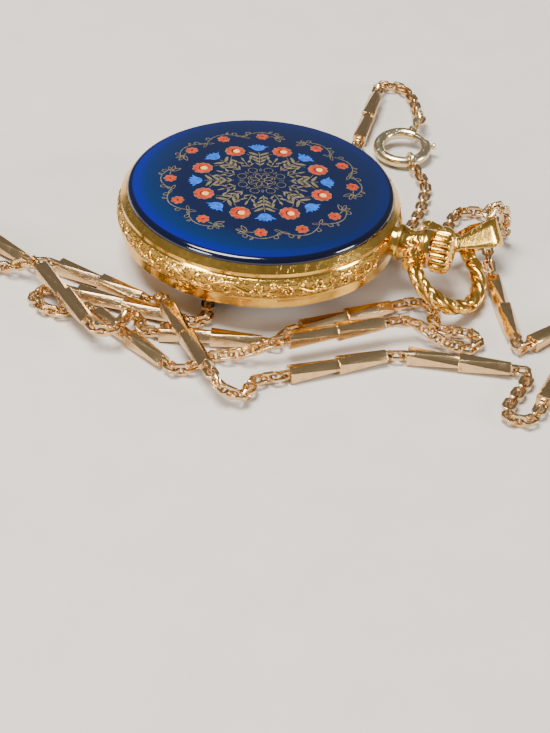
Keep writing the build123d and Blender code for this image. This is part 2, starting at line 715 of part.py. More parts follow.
def hand_outline(length):
    """A slim lozenge of a hand with a short tail, pointing to +Y."""
    return [
        (0, length),
        (-HAND_WIDTH / 2, length * HAND_BROAD_SHARE),
        (-HAND_WIDTH / 4, 0),
        (-HAND_WIDTH / 3, -HAND_TAIL),
        (HAND_WIDTH / 3, -HAND_TAIL),
        (HAND_WIDTH / 4, 0),
        (HAND_WIDTH / 2, length * HAND_BROAD_SHARE),
    ]


with BuildPart() as minute_hand:
    with BuildSketch(Plane.XY.offset(MINUTE_HAND_LEVEL)):
        with Locations(Rotation(0, 0, MINUTE_HAND_TURN)):
            Polygon(*hand_outline(MINUTE_HAND_LENGTH), align=None)
        Circle(HAND_HUB)
        Circle(CANNON_RADIUS, mode=Mode.SUBTRACT)
    extrude(amount=-HAND_THICKNESS)
save(minute_hand, "minute_hand")

with BuildPart() as hour_hand:
    with BuildSketch(Plane.XY.offset(HOUR_HAND_LEVEL)):
        with Locations(Rotation(0, 0, HOUR_HAND_TURN)):
            Polygon(*hand_outline(HOUR_HAND_LENGTH), align=None)
        Circle(HAND_HUB + HAND_WIDTH / 4)
        Circle(HOUR_PIPE_RADIUS, mode=Mode.SUBTRACT)
    extrude(amount=-HAND_THICKNESS)
save(hour_hand, "hour_hand")

# Motion work between the dial and the main plate
CANNON_WHEEL_TOP = PLATE_LEVEL - MOTION_GAP
CANNON_WHEEL_LEVEL = CANNON_WHEEL_TOP - MOTION_WHEEL_THICKNESS
HOUR_WHEEL_LEVEL = DIAL_TOP + MOTION_GAP
CANNON_TURN = 0
MINUTE_WHEEL_TURN = mesh_turn(CANNON_TEETH, CANNON_TURN, MINUTE_WHEEL_ANGLE, MINUTE_WHEEL_TEETH)
HOUR_WHEEL_TURN = mesh_turn(
    MINUTE_PINION_TEETH, MINUTE_WHEEL_TURN, MINUTE_WHEEL_ANGLE + 180, HOUR_WHEEL_TEETH
)
PIPE_BORE = ARBOR_RADIUS + SEAT_CLEARANCE
with BuildPart() as cannon_pinion:
    with BuildSketch(Plane.XY.offset(CANNON_WHEEL_LEVEL)):
        Polygon(*tooth_points(CANNON_TEETH, CANNON_MODULE), align=None)
        Circle(PIPE_BORE, mode=Mode.SUBTRACT)
    extrude(amount=MOTION_WHEEL_THICKNESS)
    with BuildSketch(Plane.XY.offset(MINUTE_HAND_LEVEL - HAND_THICKNESS)):
        Circle(CANNON_RADIUS)
        Circle(PIPE_BORE, mode=Mode.SUBTRACT)
    extrude(amount=CANNON_WHEEL_LEVEL - MINUTE_HAND_LEVEL + HAND_THICKNESS)
save(cannon_pinion, "cannon_pinion")

with BuildPart() as hour_wheel:
    with BuildSketch(Plane.XY.offset(HOUR_WHEEL_LEVEL)):
        with Locations(Rotation(0, 0, HOUR_WHEEL_TURN)):
            Polygon(*tooth_points(HOUR_WHEEL_TEETH, HOUR_MODULE), align=None)
    extrude(amount=MOTION_WHEEL_THICKNESS)
    with BuildSketch(Plane.XY.offset(HOUR_HAND_LEVEL - HAND_THICKNESS)):
        Circle(HOUR_PIPE_RADIUS)
    extrude(amount=HOUR_WHEEL_LEVEL - HOUR_HAND_LEVEL + HAND_THICKNESS)
    with BuildSketch(Plane.XY.offset(HOUR_HAND_LEVEL - HAND_THICKNESS)):
        Circle(CANNON_RADIUS + RUNNING_CLEARANCE)
    extrude(amount=DIAL_TOP - HOUR_HAND_LEVEL + OVERRUN, mode=Mode.SUBTRACT)
save(hour_wheel, "hour_wheel")

with BuildPart() as minute_wheel:
    with BuildSketch(Plane.XY.offset(CANNON_WHEEL_LEVEL)):
        with Locations(Location((*MINUTE_WHEEL_PLACE, 0), (0, 0, MINUTE_WHEEL_TURN))):
            Polygon(*tooth_points(MINUTE_WHEEL_TEETH, CANNON_MODULE), align=None)
    extrude(amount=MOTION_WHEEL_THICKNESS)
    with BuildSketch(Plane.XY.offset(HOUR_WHEEL_LEVEL)):
        with Locations(Location((*MINUTE_WHEEL_PLACE, 0), (0, 0, MINUTE_WHEEL_TURN))):
            Polygon(*tooth_points(MINUTE_PINION_TEETH, HOUR_MODULE), align=None)
    extrude(amount=CANNON_WHEEL_LEVEL - HOUR_WHEEL_LEVEL)
    with BuildSketch(Plane.XY.offset(HOUR_WHEEL_LEVEL)):
        with Locations(MINUTE_WHEEL_PLACE):
            Circle(POST_RADIUS + RUNNING_CLEARANCE)
    extrude(amount=MOTION_SPACE, mode=Mode.SUBTRACT)
save(minute_wheel, "minute_wheel")

# Main plate, with the groove for the stem and the pocket for its pinion, and the ring round it
PINION_POCKET = WINDING_PINION_RADIUS + SIDE_CLEARANCE
with BuildPart() as main_plate:
    with BuildSketch(Plane.XY.offset(PLATE_LEVEL)):
        Circle(MOVEMENT_RADIUS)
        Circle(ARBOR_RADIUS + RUNNING_CLEARANCE, mode=Mode.SUBTRACT)
    extrude(amount=PLATE_THICKNESS)
    with BuildSketch(Plane.XZ.offset(-STEM_INNER_END + SIDE_CLEARANCE)):
        with Locations((0, STEM_LEVEL)):
            Rectangle((STEM_RADIUS + SIDE_CLEARANCE) * 2, (STEM_RADIUS + SIDE_CLEARANCE) * 2)
    extrude(amount=-MOVEMENT_RADIUS, mode=Mode.SUBTRACT)
    with BuildSketch(Plane.XZ.offset(-WINDING_PINION_START + SIDE_CLEARANCE)):
        with Locations((0, STEM_LEVEL)):
            Rectangle(PINION_POCKET * 2, PINION_POCKET * 2)
    extrude(amount=-WINDING_PINION_LENGTH - SIDE_CLEARANCE * 2, mode=Mode.SUBTRACT)
    with BuildSketch(Plane.XY.offset(PLATE_LEVEL)):
        with Locations(MINUTE_WHEEL_PLACE):
            Circle(POST_RADIUS)
    extrude(amount=-MOTION_SPACE + MOTION_GAP)
save(main_plate, "main_plate")

with BuildPart() as movement_ring:
    with BuildSketch(Plane.XY.offset(BAND_LEVEL)):
        Circle(BAND_INNER - SEAT_CLEARANCE)
        Circle(MOVEMENT_RADIUS + SEAT_CLEARANCE, mode=Mode.SUBTRACT)
    extrude(amount=PLATE_TOP - BAND_LEVEL)
    with BuildSketch(Plane.XZ.offset(-MOVEMENT_RADIUS)):
        with Locations((0, STEM_LEVEL)):
            Circle(STEM_RADIUS + SIDE_CLEARANCE)
    extrude(amount=-BAND_INNER, mode=Mode.SUBTRACT)
save(movement_ring, "movement_ring")

# Bridges, each a part of a disc with a foot that stands on the plate at its rim
BALANCE_CLEAR = BALANCE_RADIUS + BRIDGE_GAP
WINDING_WINDOW = pitch_radius(CROWN_WHEEL_TEETH, WINDING_MODULE) + WINDING_MODULE


def bridge_blank(side):
    """One side of the split bridge disc, on its foot, clear of the balance."""
    with BuildSketch(Plane.XY.offset(PLATE_TOP)) as disc:
        Circle(MOVEMENT_RADIUS)
    extrude(disc.sketch, amount=TRAIN_SPACE + BRIDGE_THICKNESS)
    with BuildSketch(Plane.XY.offset(PLATE_TOP)) as room:
        Circle(MOVEMENT_RADIUS - BRIDGE_FOOT_WIDTH)
    extrude(room.sketch, amount=TRAIN_SPACE, mode=Mode.SUBTRACT)
    half = Plane(
        origin=(*polar(side * BRIDGE_GAP / 2, BRIDGE_SPLIT + 90), 0),
        x_dir=(0, 0, 1),
        z_dir=(*polar(side, BRIDGE_SPLIT + 90), 0),
    )
    split(bisect_by=half, keep=Keep.TOP)
    with BuildSketch(Plane.XY.offset(PLATE_TOP)) as window:
        with Locations(BALANCE_PLACE, polar(MOVEMENT_RADIUS, COCK_ANGLE)):
            Circle(BALANCE_CLEAR)
    extrude(window.sketch, amount=TRAIN_SPACE + BRIDGE_THICKNESS, mode=Mode.SUBTRACT)


with BuildPart() as barrel_bridge:
    bridge_blank(1)
    with BuildSketch(Plane.XY.offset(RECESS_LEVEL)):
        with Locations(CROWN_WHEEL_PLACE):
            Circle(WINDING_WINDOW)
            Circle(SCREW_RADIUS, mode=Mode.SUBTRACT)
    extrude(amount=BRIDGE_THICKNESS, mode=Mode.SUBTRACT)
    with BuildSketch(Plane.XY.offset(BRIDGE_LEVEL)):
        with Locations(BARREL_PLACE):
            Circle(ARBOR_RADIUS + RUNNING_CLEARANCE)
    extrude(amount=BRIDGE_THICKNESS, mode=Mode.SUBTRACT)
    with BuildSketch(Plane.XZ.offset(-WINDING_PINION_START + SIDE_CLEARANCE)):
        with Locations((0, STEM_LEVEL)):
            Rectangle(PINION_POCKET * 2, PINION_POCKET * 2)
    extrude(amount=-MOVEMENT_RADIUS, mode=Mode.SUBTRACT)
    with BuildSketch(Plane.XY.offset(PLATE_TOP)):
        with Locations((0, MOVEMENT_RADIUS)):
            Rectangle((LEVER_PIVOT_PLACE + LEVER_WIDTH) * 2, LEVER_LENGTH * 2)
    extrude(amount=TRAIN_SPACE, mode=Mode.SUBTRACT)
save(barrel_bridge, "barrel_bridge")

with BuildPart() as train_bridge:
    bridge_blank(-1)
save(train_bridge, "train_bridge")

# Balance cock: an arm from its own foot to the balance's upper bearing
COCK_FOOT = polar(COCK_FOOT_REACH, COCK_ANGLE)
COCK_LEVEL = BRIDGE_LEVEL
with BuildPart() as balance_cock:
    with BuildSketch(Plane.XY.offset(COCK_LEVEL)):
        with Locations(COCK_FOOT):
            Circle(COCK_FOOT_RADIUS)
        with Locations(BALANCE_PLACE):
            Circle(COCK_WIDTH / 2)
        make_hull()
    extrude(amount=BRIDGE_THICKNESS)
    with BuildSketch(Plane.XY.offset(PLATE_TOP)):
        with Locations(COCK_FOOT):
            Circle(COCK_FOOT_RADIUS)
    extrude(amount=TRAIN_SPACE)
save(balance_cock, "balance_cock")

# Going train. Wheels are crossed out, and pinions and arbors are one solid with their wheel
LOWER_END = PLATE_TOP + PLAY
UPPER_END = BRIDGE_LEVEL - PLAY


def crossed_wheel(place, turn, teeth, module, level):
    """A toothed wheel with four windows between its spokes."""
    rim = pitch_radius(teeth, module)
    with BuildSketch(Plane.XY.offset(level)) as outline:
        with Locations(Location((*place, 0), (0, 0, turn))):
            Polygon(*tooth_points(teeth, module), align=None)
            for window in range(SPOKES):
                middle = 360 * window / SPOKES
                half = 180 / SPOKES * WINDOW_SHARE
                Polygon(
                    polar(rim * WHEEL_CROSSING_SHARE, middle - half),
                    polar(rim * WHEEL_CROSSING_SHARE, middle),
                    polar(rim * WHEEL_CROSSING_SHARE, middle + half),
                    polar(rim * HUB_SHARE, middle),
                    align=None,
                    mode=Mode.SUBTRACT,
                )
    extrude(outline.sketch, amount=WHEEL_THICKNESS)


def pinion(place, turn, teeth, module, low, high):
    """Leaves between two levels."""
    with BuildSketch(Plane.XY.offset(low)) as outline:
        with Locations(Location((*place, 0), (0, 0, turn))):
            Polygon(*tooth_points(teeth, module), align=None)
    extrude(outline.sketch, amount=high - low)


def arbor(place, low, high, radius=POST_RADIUS):
    with BuildSketch(Plane.XY.offset(low)) as outline:
        with Locations(place):
            RegularPolygon(radius, ARBOR_SIDES)
    extrude(outline.sketch, amount=high - low)


BARREL_LEVEL = PLATE_TOP + BARREL_SHAKE
BARREL_TURN = 0
CENTRE_PINION_TURN = mesh_turn(BARREL_TEETH, BARREL_TURN, BARREL_ANGLE + 180, CENTRE_PINION_TEETH)
THIRD_PINION_TURN = mesh_turn(CENTRE_TEETH, 0, THIRD_ANGLE, THIRD_PINION_TEETH)
FOURTH_PINION_TURN = mesh_turn(THIRD_TEETH, 0, FOURTH_ANGLE, FOURTH_PINION_TEETH)
ESCAPE_PINION_TURN = mesh_turn(FOURTH_TEETH, 0, ESCAPE_ANGLE, ESCAPE_PINION_TEETH)
TEETH_HEIGHT = WHEEL_THICKNESS + PLAY
FOURTH_LEVEL = BARREL_LEVEL
THIRD_LEVEL = FOURTH_LEVEL + WHEEL_THICKNESS * 3
CENTRE_LEVEL = BARREL_LEVEL + BARREL_HEIGHT + BRIDGE_GAP / 3
ESCAPE_LEVEL = THIRD_LEVEL

with BuildPart() as barrel:
    with BuildSketch(Plane.XY.offset(BARREL_LEVEL)):
        with Locations(BARREL_PLACE):
            Polygon(*tooth_points(BARREL_TEETH, BARREL_MODULE), align=None)
    extrude(amount=WHEEL_THICKNESS)
    drum = pitch_radius(BARREL_TEETH, BARREL_MODULE) - BARREL_SHOULDER
    with BuildSketch(Plane.XY.offset(BARREL_LEVEL + WHEEL_THICKNESS)):
        with Locations(BARREL_PLACE):
            Circle(drum)
    extrude(amount=BARREL_HEIGHT - WHEEL_THICKNESS)
    with BuildSketch(Plane.XY.offset(BARREL_LEVEL + WHEEL_THICKNESS)):
        with Locations(BARREL_PLACE):
            Circle(drum - BARREL_WALL)
    extrude(amount=BARREL_HEIGHT - WHEEL_THICKNESS - BARREL_WALL / 2, mode=Mode.SUBTRACT)
    with BuildSketch(Plane.XY.offset(BARREL_LEVEL)):
        with Locations(BARREL_PLACE):
            Circle(BARREL_ARBOR + RUNNING_CLEARANCE)
    extrude(amount=BARREL_HEIGHT, mode=Mode.SUBTRACT)
save(barrel, "barrel")

with BuildPart() as mainspring:
    with BuildSketch(Plane.XY.offset(BARREL_LEVEL + WHEEL_THICKNESS + PLAY)):
        with Locations(BARREL_PLACE):
            Circle(drum - BARREL_WALL - PLAY)
            Circle(drum * MAINSPRING_SHARE, mode=Mode.SUBTRACT)
    extrude(amount=BARREL_HEIGHT - WHEEL_THICKNESS - BARREL_WALL / 2 - PLAY * 2)
save(mainspring, "mainspring")

with BuildPart() as barrel_arbor:
    with BuildSketch(Plane.XY.offset(LOWER_END)):
        with Locations(BARREL_PLACE):
            Circle(BARREL_ARBOR)
    extrude(amount=BARREL_LEVEL + BARREL_HEIGHT - LOWER_END)
    with BuildSketch(Plane.XY.offset(BARREL_LEVEL + BARREL_HEIGHT)):
        with Locations(BARREL_PLACE):
            Circle(ARBOR_RADIUS)
    extrude(amount=WINDING_LEVEL - BARREL_LEVEL - BARREL_HEIGHT)
save(barrel_arbor, "barrel_arbor")

with BuildPart() as centre_wheel:
    crossed_wheel((0, 0), 0, CENTRE_TEETH, TRAIN_MODULE, CENTRE_LEVEL)
    pinion(
        (0, 0), CENTRE_PINION_TURN, CENTRE_PINION_TEETH, BARREL_MODULE, LOWER_END,
        BARREL_LEVEL + TEETH_HEIGHT,
    )
    arbor((0, 0), MINUTE_HAND_LEVEL, UPPER_END, ARBOR_RADIUS)
save(centre_wheel, "centre_wheel")

with BuildPart() as third_wheel:
    crossed_wheel(THIRD_PLACE, 0, THIRD_TEETH, TRAIN_MODULE, THIRD_LEVEL)
    pinion(
        THIRD_PLACE, THIRD_PINION_TURN, THIRD_PINION_TEETH, TRAIN_MODULE,
        CENTRE_LEVEL - PLAY, UPPER_END - PLAY,
    )
    arbor(THIRD_PLACE, LOWER_END, UPPER_END)
save(third_wheel, "third_wheel")

with BuildPart() as fourth_wheel:
    crossed_wheel(FOURTH_PLACE, 0, FOURTH_TEETH, FOURTH_MODULE, FOURTH_LEVEL)
    pinion(
        FOURTH_PLACE, FOURTH_PINION_TURN, FOURTH_PINION_TEETH, TRAIN_MODULE,
        THIRD_LEVEL - PLAY, THIRD_LEVEL + TEETH_HEIGHT,
    )
    arbor(FOURTH_PLACE, LOWER_END, UPPER_END)
save(fourth_wheel, "fourth_wheel")

with BuildPart() as escape_wheel:
    with BuildSketch(Plane.XY.offset(ESCAPE_LEVEL)):
        with Locations(ESCAPE_PLACE):
            points = []
            for tooth in range(ESCAPE_TEETH):
                points.append(polar(ESCAPE_RADIUS, 360 * tooth / ESCAPE_TEETH))
                lean = 360 * (tooth + ESCAPE_LEAN_SHARE) / ESCAPE_TEETH
                points.append(polar(ESCAPE_RADIUS * ESCAPE_ROOT_SHARE, lean))
            Polygon(*points, align=None)
    extrude(amount=WHEEL_THICKNESS)
    pinion(
        ESCAPE_PLACE, ESCAPE_PINION_TURN, ESCAPE_PINION_TEETH, FOURTH_MODULE,
        FOURTH_LEVEL - PLAY, FOURTH_LEVEL + TEETH_HEIGHT,
    )
    arbor(ESCAPE_PLACE, LOWER_END, UPPER_END)
save(escape_wheel, "escape_wheel")

# Pallet fork: two arms with their stones at the escape wheel and a notch at the roller
FORK_TURN = degrees(
    atan2(BALANCE_PLACE[1] - PALLET_PLACE[1], BALANCE_PLACE[0] - PALLET_PLACE[0])
)
FORK_LENGTH = hypot(BALANCE_PLACE[0] - PALLET_PLACE[0], BALANCE_PLACE[1] - PALLET_PLACE[1])
FORK_LENGTH = FORK_LENGTH - ROLLER_RADIUS - PLAY
with BuildPart() as pallet_fork:
    with BuildSketch(Plane.XY.offset(ESCAPE_LEVEL)):
        with Locations(Location((*PALLET_PLACE, 0), (0, 0, FORK_TURN))):
            Polygon(
                (0, FORK_WIDTH),
                (FORK_LENGTH, FORK_WIDTH / 2),
                (FORK_LENGTH - FORK_WIDTH, 0),
                (FORK_LENGTH, -FORK_WIDTH / 2),
                (0, -FORK_WIDTH),
                align=None,
            )
        with Locations(Location((*PALLET_PLACE, 0), (0, 0, PALLET_ANGLE + 180))):
            Polygon(
                (FORK_WIDTH / 2, 0),
                (PALLET_DEPTH, PALLET_SPAN),
                (PALLET_DEPTH - FORK_WIDTH, PALLET_SPAN + FORK_WIDTH / 2),
                (-FORK_WIDTH, 0),
                (PALLET_DEPTH - FORK_WIDTH, -PALLET_SPAN - FORK_WIDTH / 2),
                (PALLET_DEPTH, -PALLET_SPAN),
                align=None,
            )
    extrude(amount=WHEEL_THICKNESS)
    arbor(PALLET_PLACE, LOWER_END, UPPER_END)
save(pallet_fork, "pallet_fork")

# Balance with two arms, its staff and roller, and the flat hairspring above it
BALANCE_LEVEL = ESCAPE_LEVEL + WHEEL_THICKNESS + BRIDGE_GAP / 3
with BuildPart() as balance_wheel:
    with BuildSketch(Plane.XY.offset(BALANCE_LEVEL)):
        with Locations(BALANCE_PLACE):
            Circle(BALANCE_RADIUS)
            Circle(BALANCE_RADIUS - BALANCE_RIM, mode=Mode.SUBTRACT)
            Rectangle(BALANCE_RADIUS * 2 - BALANCE_RIM, BALANCE_ARM)
    extrude(amount=BALANCE_THICKNESS)
    arbor(BALANCE_PLACE, LOWER_END, COCK_LEVEL - PLAY)
    with BuildSketch(Plane.XY.offset(ESCAPE_LEVEL)):
        with Locations(BALANCE_PLACE):
            RegularPolygon(ROLLER_RADIUS - PLAY, ARBOR_SIDES)
    extrude(amount=BALANCE_LEVEL - ESCAPE_LEVEL)
save(balance_wheel, "balance_wheel")

HAIRSPRING_LEVEL = BALANCE_LEVEL + BALANCE_THICKNESS + PLAY
HAIRSPRING_STEP = (BALANCE_RADIUS - BALANCE_RIM - ROLLER_RADIUS * 2) / HAIRSPRING_TURNS
with BuildPart() as hairspring:
    with BuildSketch(Plane.XY.offset(HAIRSPRING_LEVEL)):
        with Locations(BALANCE_PLACE):
            outer, inner = [], []
            for station in range(HAIRSPRING_TURNS * HAIRSPRING_SIDES + 1):
                turns = station / HAIRSPRING_SIDES
                middle = ROLLER_RADIUS + HAIRSPRING_STEP * turns
                outer.append(polar(middle + HAIRSPRING_STRIP / 2, 360 * turns))
                inner.append(polar(middle - HAIRSPRING_STRIP / 2, 360 * turns))
            Polygon(*outer, *reversed(inner), align=None)
    extrude(amount=HAIRSPRING_HEIGHT)
save(hairspring, "hairspring")


# Chain. Every bar lies where its middle, heading and slope put it
BAR_LEVEL = FLOOR_LEVEL + BAR_SIZE / 2
LINK_LEVEL = FLOOR_LEVEL + LINK_WIDTH / 2 + PLAY
BAR_REACH = BAR_LENGTH / 2 + EYE_REACH
FIRST_LINK = LINK_LENGTH / 2 - LINK_WIRE / 2


def lie(place, way, roll=0):
    """The plane whose X runs this way, rolled about it from lying flat."""
    along = Vector(way).normalized()
    side = Vector(0, 0, 1).cross(along).normalized()
    up = along.cross(side)
    normal = up * cos(radians(roll)) + side * sin(radians(roll))
    return Plane(origin=place, x_dir=along, z_dir=normal)


def bar_plane(bar):
    """Where a bar lies: its middle, its heading and its slope."""
    x, y, level, heading, slope = bar
    flat = cos(radians(slope))
    way = (*polar(flat, heading), sin(radians(slope)))
    return lie((x, y, level), way)


def bar_end(bar, side):
    """The middle of the eye at one end of a bar, and the way out of that end."""
    plane = bar_plane(bar)
    return plane.origin + plane.x_dir * (side * BAR_REACH), plane.x_dir * side


# Half a bar: a square prism cut by a tapering one that stands on its corner
CUT_START = BAR_SIZE * (1 - BAR_END_SHARE) / sqrt(2)
CUT_END = BAR_SIZE * (1 - BAR_CUT_SHARE) / sqrt(2)
CUT_TAPER = degrees(atan2(CUT_START - CUT_END, BAR_LENGTH / 2))
with BuildPart() as half_bar:
    with BuildSketch(Plane.YZ):
        Rectangle(BAR_SIZE, BAR_SIZE)
    extrude(amount=BAR_LENGTH / 2)
    with BuildSketch(Plane.YZ):
        Rectangle(CUT_START * 2, CUT_START * 2, rotation=45)
    extrude(amount=BAR_LENGTH / 2, taper=CUT_TAPER, mode=Mode.INTERSECT)

# One bar: two such halves, one behind the other
with BuildPart() as bar_body:
    with Locations((-BAR_LENGTH / 2, 0, 0), (0, 0, 0)):
        add(half_bar.part)

with BuildPart() as bar_eye:
    with BuildSketch(Plane.XY.offset(-EYE_THICKNESS / 2)):
        corner = EYE_WIDTH / 4
        Polygon(
            (-EYE_REACH - OVERRUN / 2, EYE_WIDTH / 2),
            (corner, EYE_WIDTH / 2),
            (EYE_WIDTH / 2, corner),
            (EYE_WIDTH / 2, -corner),
            (corner, -EYE_WIDTH / 2),
            (-EYE_REACH - OVERRUN / 2, -EYE_WIDTH / 2),
            align=None,
        )
        RegularPolygon(EYE_HOLE / 2, 6, major_radius=False, mode=Mode.SUBTRACT)
    extrude(amount=EYE_THICKNESS)

with BuildPart() as link:
    with BuildSketch(Plane.XY.offset(-LINK_WIRE / 2)):
        half_length, half_width = LINK_LENGTH / 2, LINK_WIDTH / 2
        Polygon(
            (half_length, half_width - LINK_CORNER),
            (half_length - LINK_CORNER, half_width),
            (-half_length + LINK_CORNER, half_width),
            (-half_length, half_width - LINK_CORNER),
            (-half_length, -half_width + LINK_CORNER),
            (-half_length + LINK_CORNER, -half_width),
            (half_length - LINK_CORNER, -half_width),
            (half_length, -half_width + LINK_CORNER),
            align=None,
        )
        Rectangle(LINK_LENGTH - LINK_WIRE * 2, LINK_WIDTH - LINK_WIRE * 2, mode=Mode.SUBTRACT)
    extrude(amount=LINK_WIRE)


def flat_bar(x, y, heading, level=BAR_LEVEL, slope=0):
    return (x, y, level, heading, slope)


RAISED = BAR_LEVEL + BAR_SIZE + PLAY
BAR_CLASP = flat_bar(-30.3, 2.7, 185.5, BAR_LEVEL + LINK_WIRE, 4)
BAR_UNDER_A = flat_bar(-16.6, 1.2, 158)
BAR_UNDER_B = flat_bar(-3.5, -6.4, 195)
BAR_TWO = flat_bar(11.98, -12.2, 80)
BAR_THREE = flat_bar(14.6, -8.6, 89.5)
BAR_FOUR = flat_bar(17.3, -13.7, 52, RAISED)
BAR_SIX = flat_bar(19.3, -6.0, 63)
BAR_SEVEN = flat_bar(18.8, -0.5, 43.5, RAISED)
BAR_NINE = flat_bar(16.2, 1.0, 104)
BAR_TEN = flat_bar(12.6, 12.3, 129, RAISED)
BAR_ELEVEN = flat_bar(15.6, 13.5, 130)
BAR_TWELVE = flat_bar(8.0, 12.0, 135)
BAR_ONE = flat_bar(9.55, -25.4, 69)
BAR_OUTER = flat_bar(13.2, -28.9, 86)
BAR_FIFTEEN = flat_bar(8.6, 33.2, 175)
BAR_SEVENTEEN = flat_bar(0.2, 25.9, 26)


def beyond(bar, side, turn, heading):
    """The bar that one link joins to another bar's end, turning there before it heads on."""
    place, _ = bar_end(bar, side)
    x, y = onward((place.X, place.Y), FIRST_LINK * 2, turn)
    x, y = onward((x, y), BAR_REACH, heading)
    return flat_bar(x, y, heading)


BAR_THIRTEEN = beyond(BAR_ELEVEN, 1, 115, 101)
BAR_FOURTEEN = beyond(BAR_SEVENTEEN, 1, 78, 151)


def spread(points, count):
    """Points at equal steps along the straight lines through these points."""
    pairs = [(a, b) for a, b in zip(points, points[1:]) if (b - a).length > 0]
    total = sum((b - a).length for a, b in pairs)
    result, passed, number = [], 0, 0
    for a, b in pairs:
        length = (b - a).length
        while number <= count and total * number / count <= passed + length:
            result.append(a + (b - a) * ((total * number / count - passed) / length))
            number += 1
        passed += length
    return result if len(result) > count else [*result, points[-1]]


def path_length(points):
    """Length of the straight lines through these points."""
    return sum((b - a).length for a, b in zip(points, points[1:]))


def slack(points):
    """The same way as a hanging chain takes it, with its corners rounded off."""
    points = spread(points, max(2, round(path_length(points) * STEPS_A_LINK / LINK_PITCH)))
    for _ in range(SLACK_ROUNDS):
        middles = [(a + b) / 2 for a, b in zip(points, points[2:])]
        eased = [p + (m - p) * SLACK_SHARE for p, m in zip(points[1:], middles)]
        points = [points[0], *eased, points[-1]]
    return points


def run(start, end, *waypoints):
    """Planes of the links between two eyes, and the rolls that the eyes need."""
    start_place, start_way = start
    end_place, end_way = end
    first = start_place + start_way * FIRST_LINK
    last = end_place + end_way * FIRST_LINK
    if (last - first).length < LINK_PITCH / 2:
        return [lie((start_place + end_place) / 2, end_place - start_place)], 90, 90
    leaving, arriving = first + start_way * LINK_PITCH, last + end_way * LINK_PITCH
    onto = [Vector(*point) for point in waypoints]
    route = slack([first, leaving, *onto, arriving, last] if onto else [first, last])
    points = spread(route, max(1, round(path_length(route) / LINK_PITCH)))
    ways = [b - a for a, b in zip(points, points[2:])]
    planes = []
    for number, (place, way) in enumerate(zip(points, [start_way, *ways, -end_way])):
        planes.append(lie(place, way, 90 * (number % 2)))
    return planes, 90, 90 * (len(points) % 2)


# Clasp: a hollow ring with an opening, and a sprung gate that slides round inside it
CLASP_PLANE = Plane(
    origin=CLASP_PLACE,
    x_dir=(cos(radians(RING_TILT)), 0, -sin(radians(RING_TILT))),
    z_dir=(sin(radians(RING_TILT)), 0, cos(radians(RING_TILT))),
)
RING_START = RING_OPENING_MIDDLE + RING_OPENING / 2
NUB_PLACE = RING_START - RING_OPENING - NUB_ANGLE


def ring_section(angle, radius):
    """A section of the clasp's ring, across it at this angle."""
    middle = CLASP_PLANE.from_local_coords((*polar(RING_MIDDLE, angle), 0))
    outward = CLASP_PLANE.from_local_coords((*polar(RING_MIDDLE * 2, angle), 0)) - middle
    onward_way = CLASP_PLANE.z_dir.cross(outward)
    section = Plane(origin=middle, x_dir=outward, z_dir=onward_way)
    with BuildSketch(section) as outline:
        RegularPolygon(radius, ARBOR_SIDES)
    return outline.sketch


CLASP_AXIS = Axis(CLASP_PLANE.origin, CLASP_PLANE.z_dir)
with BuildPart() as spring_ring_body:
    revolve(ring_section(RING_START, RING_TUBE), axis=CLASP_AXIS, revolution_arc=360 - RING_OPENING)
    eye_plane = CLASP_PLANE.offset(-EYE_THICKNESS / 2)
    with BuildSketch(eye_plane):
        with Locations(Rotation(0, 0, CLASP_EYE_ANGLE)):
            Polygon(
                (RING_MIDDLE, EYE_WIDTH * EYE_ROOT_SHARE),
                (CLASP_EYE_REACH + EYE_WIDTH / 2, EYE_WIDTH / 2),
                (CLASP_EYE_REACH + EYE_WIDTH / 2, -EYE_WIDTH / 2),
                (RING_MIDDLE, -EYE_WIDTH * EYE_ROOT_SHARE),
                align=None,
            )
    extrude(amount=EYE_THICKNESS)
    with BuildSketch(eye_plane):
        with Locations(Rotation(0, 0, CLASP_EYE_ANGLE)):
            with Locations((CLASP_EYE_REACH, 0)):
                RegularPolygon(EYE_HOLE / 2, ARBOR_SIDES)
    extrude(amount=EYE_THICKNESS, mode=Mode.SUBTRACT)
    bore = ring_section(RING_START, RING_TUBE - RING_WALL)
    revolve(bore, axis=CLASP_AXIS, revolution_arc=360 - RING_OPENING, mode=Mode.SUBTRACT)
    with BuildSketch(CLASP_PLANE.offset(-NUB_WIDTH / 2 - SIDE_CLEARANCE)):
        slot_start = NUB_PLACE - RING_OPENING - GATE_OVERLAP - SLOT_MARGIN
        slot_end = NUB_PLACE + SLOT_MARGIN
        reach = RING_MIDDLE + NUB_HEIGHT
        Polygon(
            (0, 0), polar(reach * 2, slot_start), polar(reach * 2, (slot_start + slot_end) / 2),
            polar(reach * 2, slot_end), align=None,
        )
        Circle(RING_MIDDLE, mode=Mode.SUBTRACT)
    extrude(amount=NUB_WIDTH + SIDE_CLEARANCE * 2, mode=Mode.SUBTRACT)
save(spring_ring_body, "spring_ring_body")

GATE_START = RING_START - RING_OPENING - GATE_TAIL
with BuildPart() as spring_ring_lever:
    revolve(
        ring_section(GATE_START, GATE_RADIUS),
        axis=CLASP_AXIS,
        revolution_arc=RING_OPENING + GATE_OVERLAP + GATE_TAIL,
    )
    nub_middle = CLASP_PLANE.from_local_coords((*polar(RING_MIDDLE, NUB_PLACE), 0))
    nub_way = CLASP_PLANE.from_local_coords((*polar(RING_MIDDLE * 2, NUB_PLACE), 0))
    with BuildSketch(Plane(origin=nub_middle, z_dir=nub_way - nub_middle)):
        RegularPolygon(NUB_WIDTH / 2, ARBOR_SIDES)
    extrude(amount=NUB_HEIGHT)
save(spring_ring_lever, "spring_ring_lever")


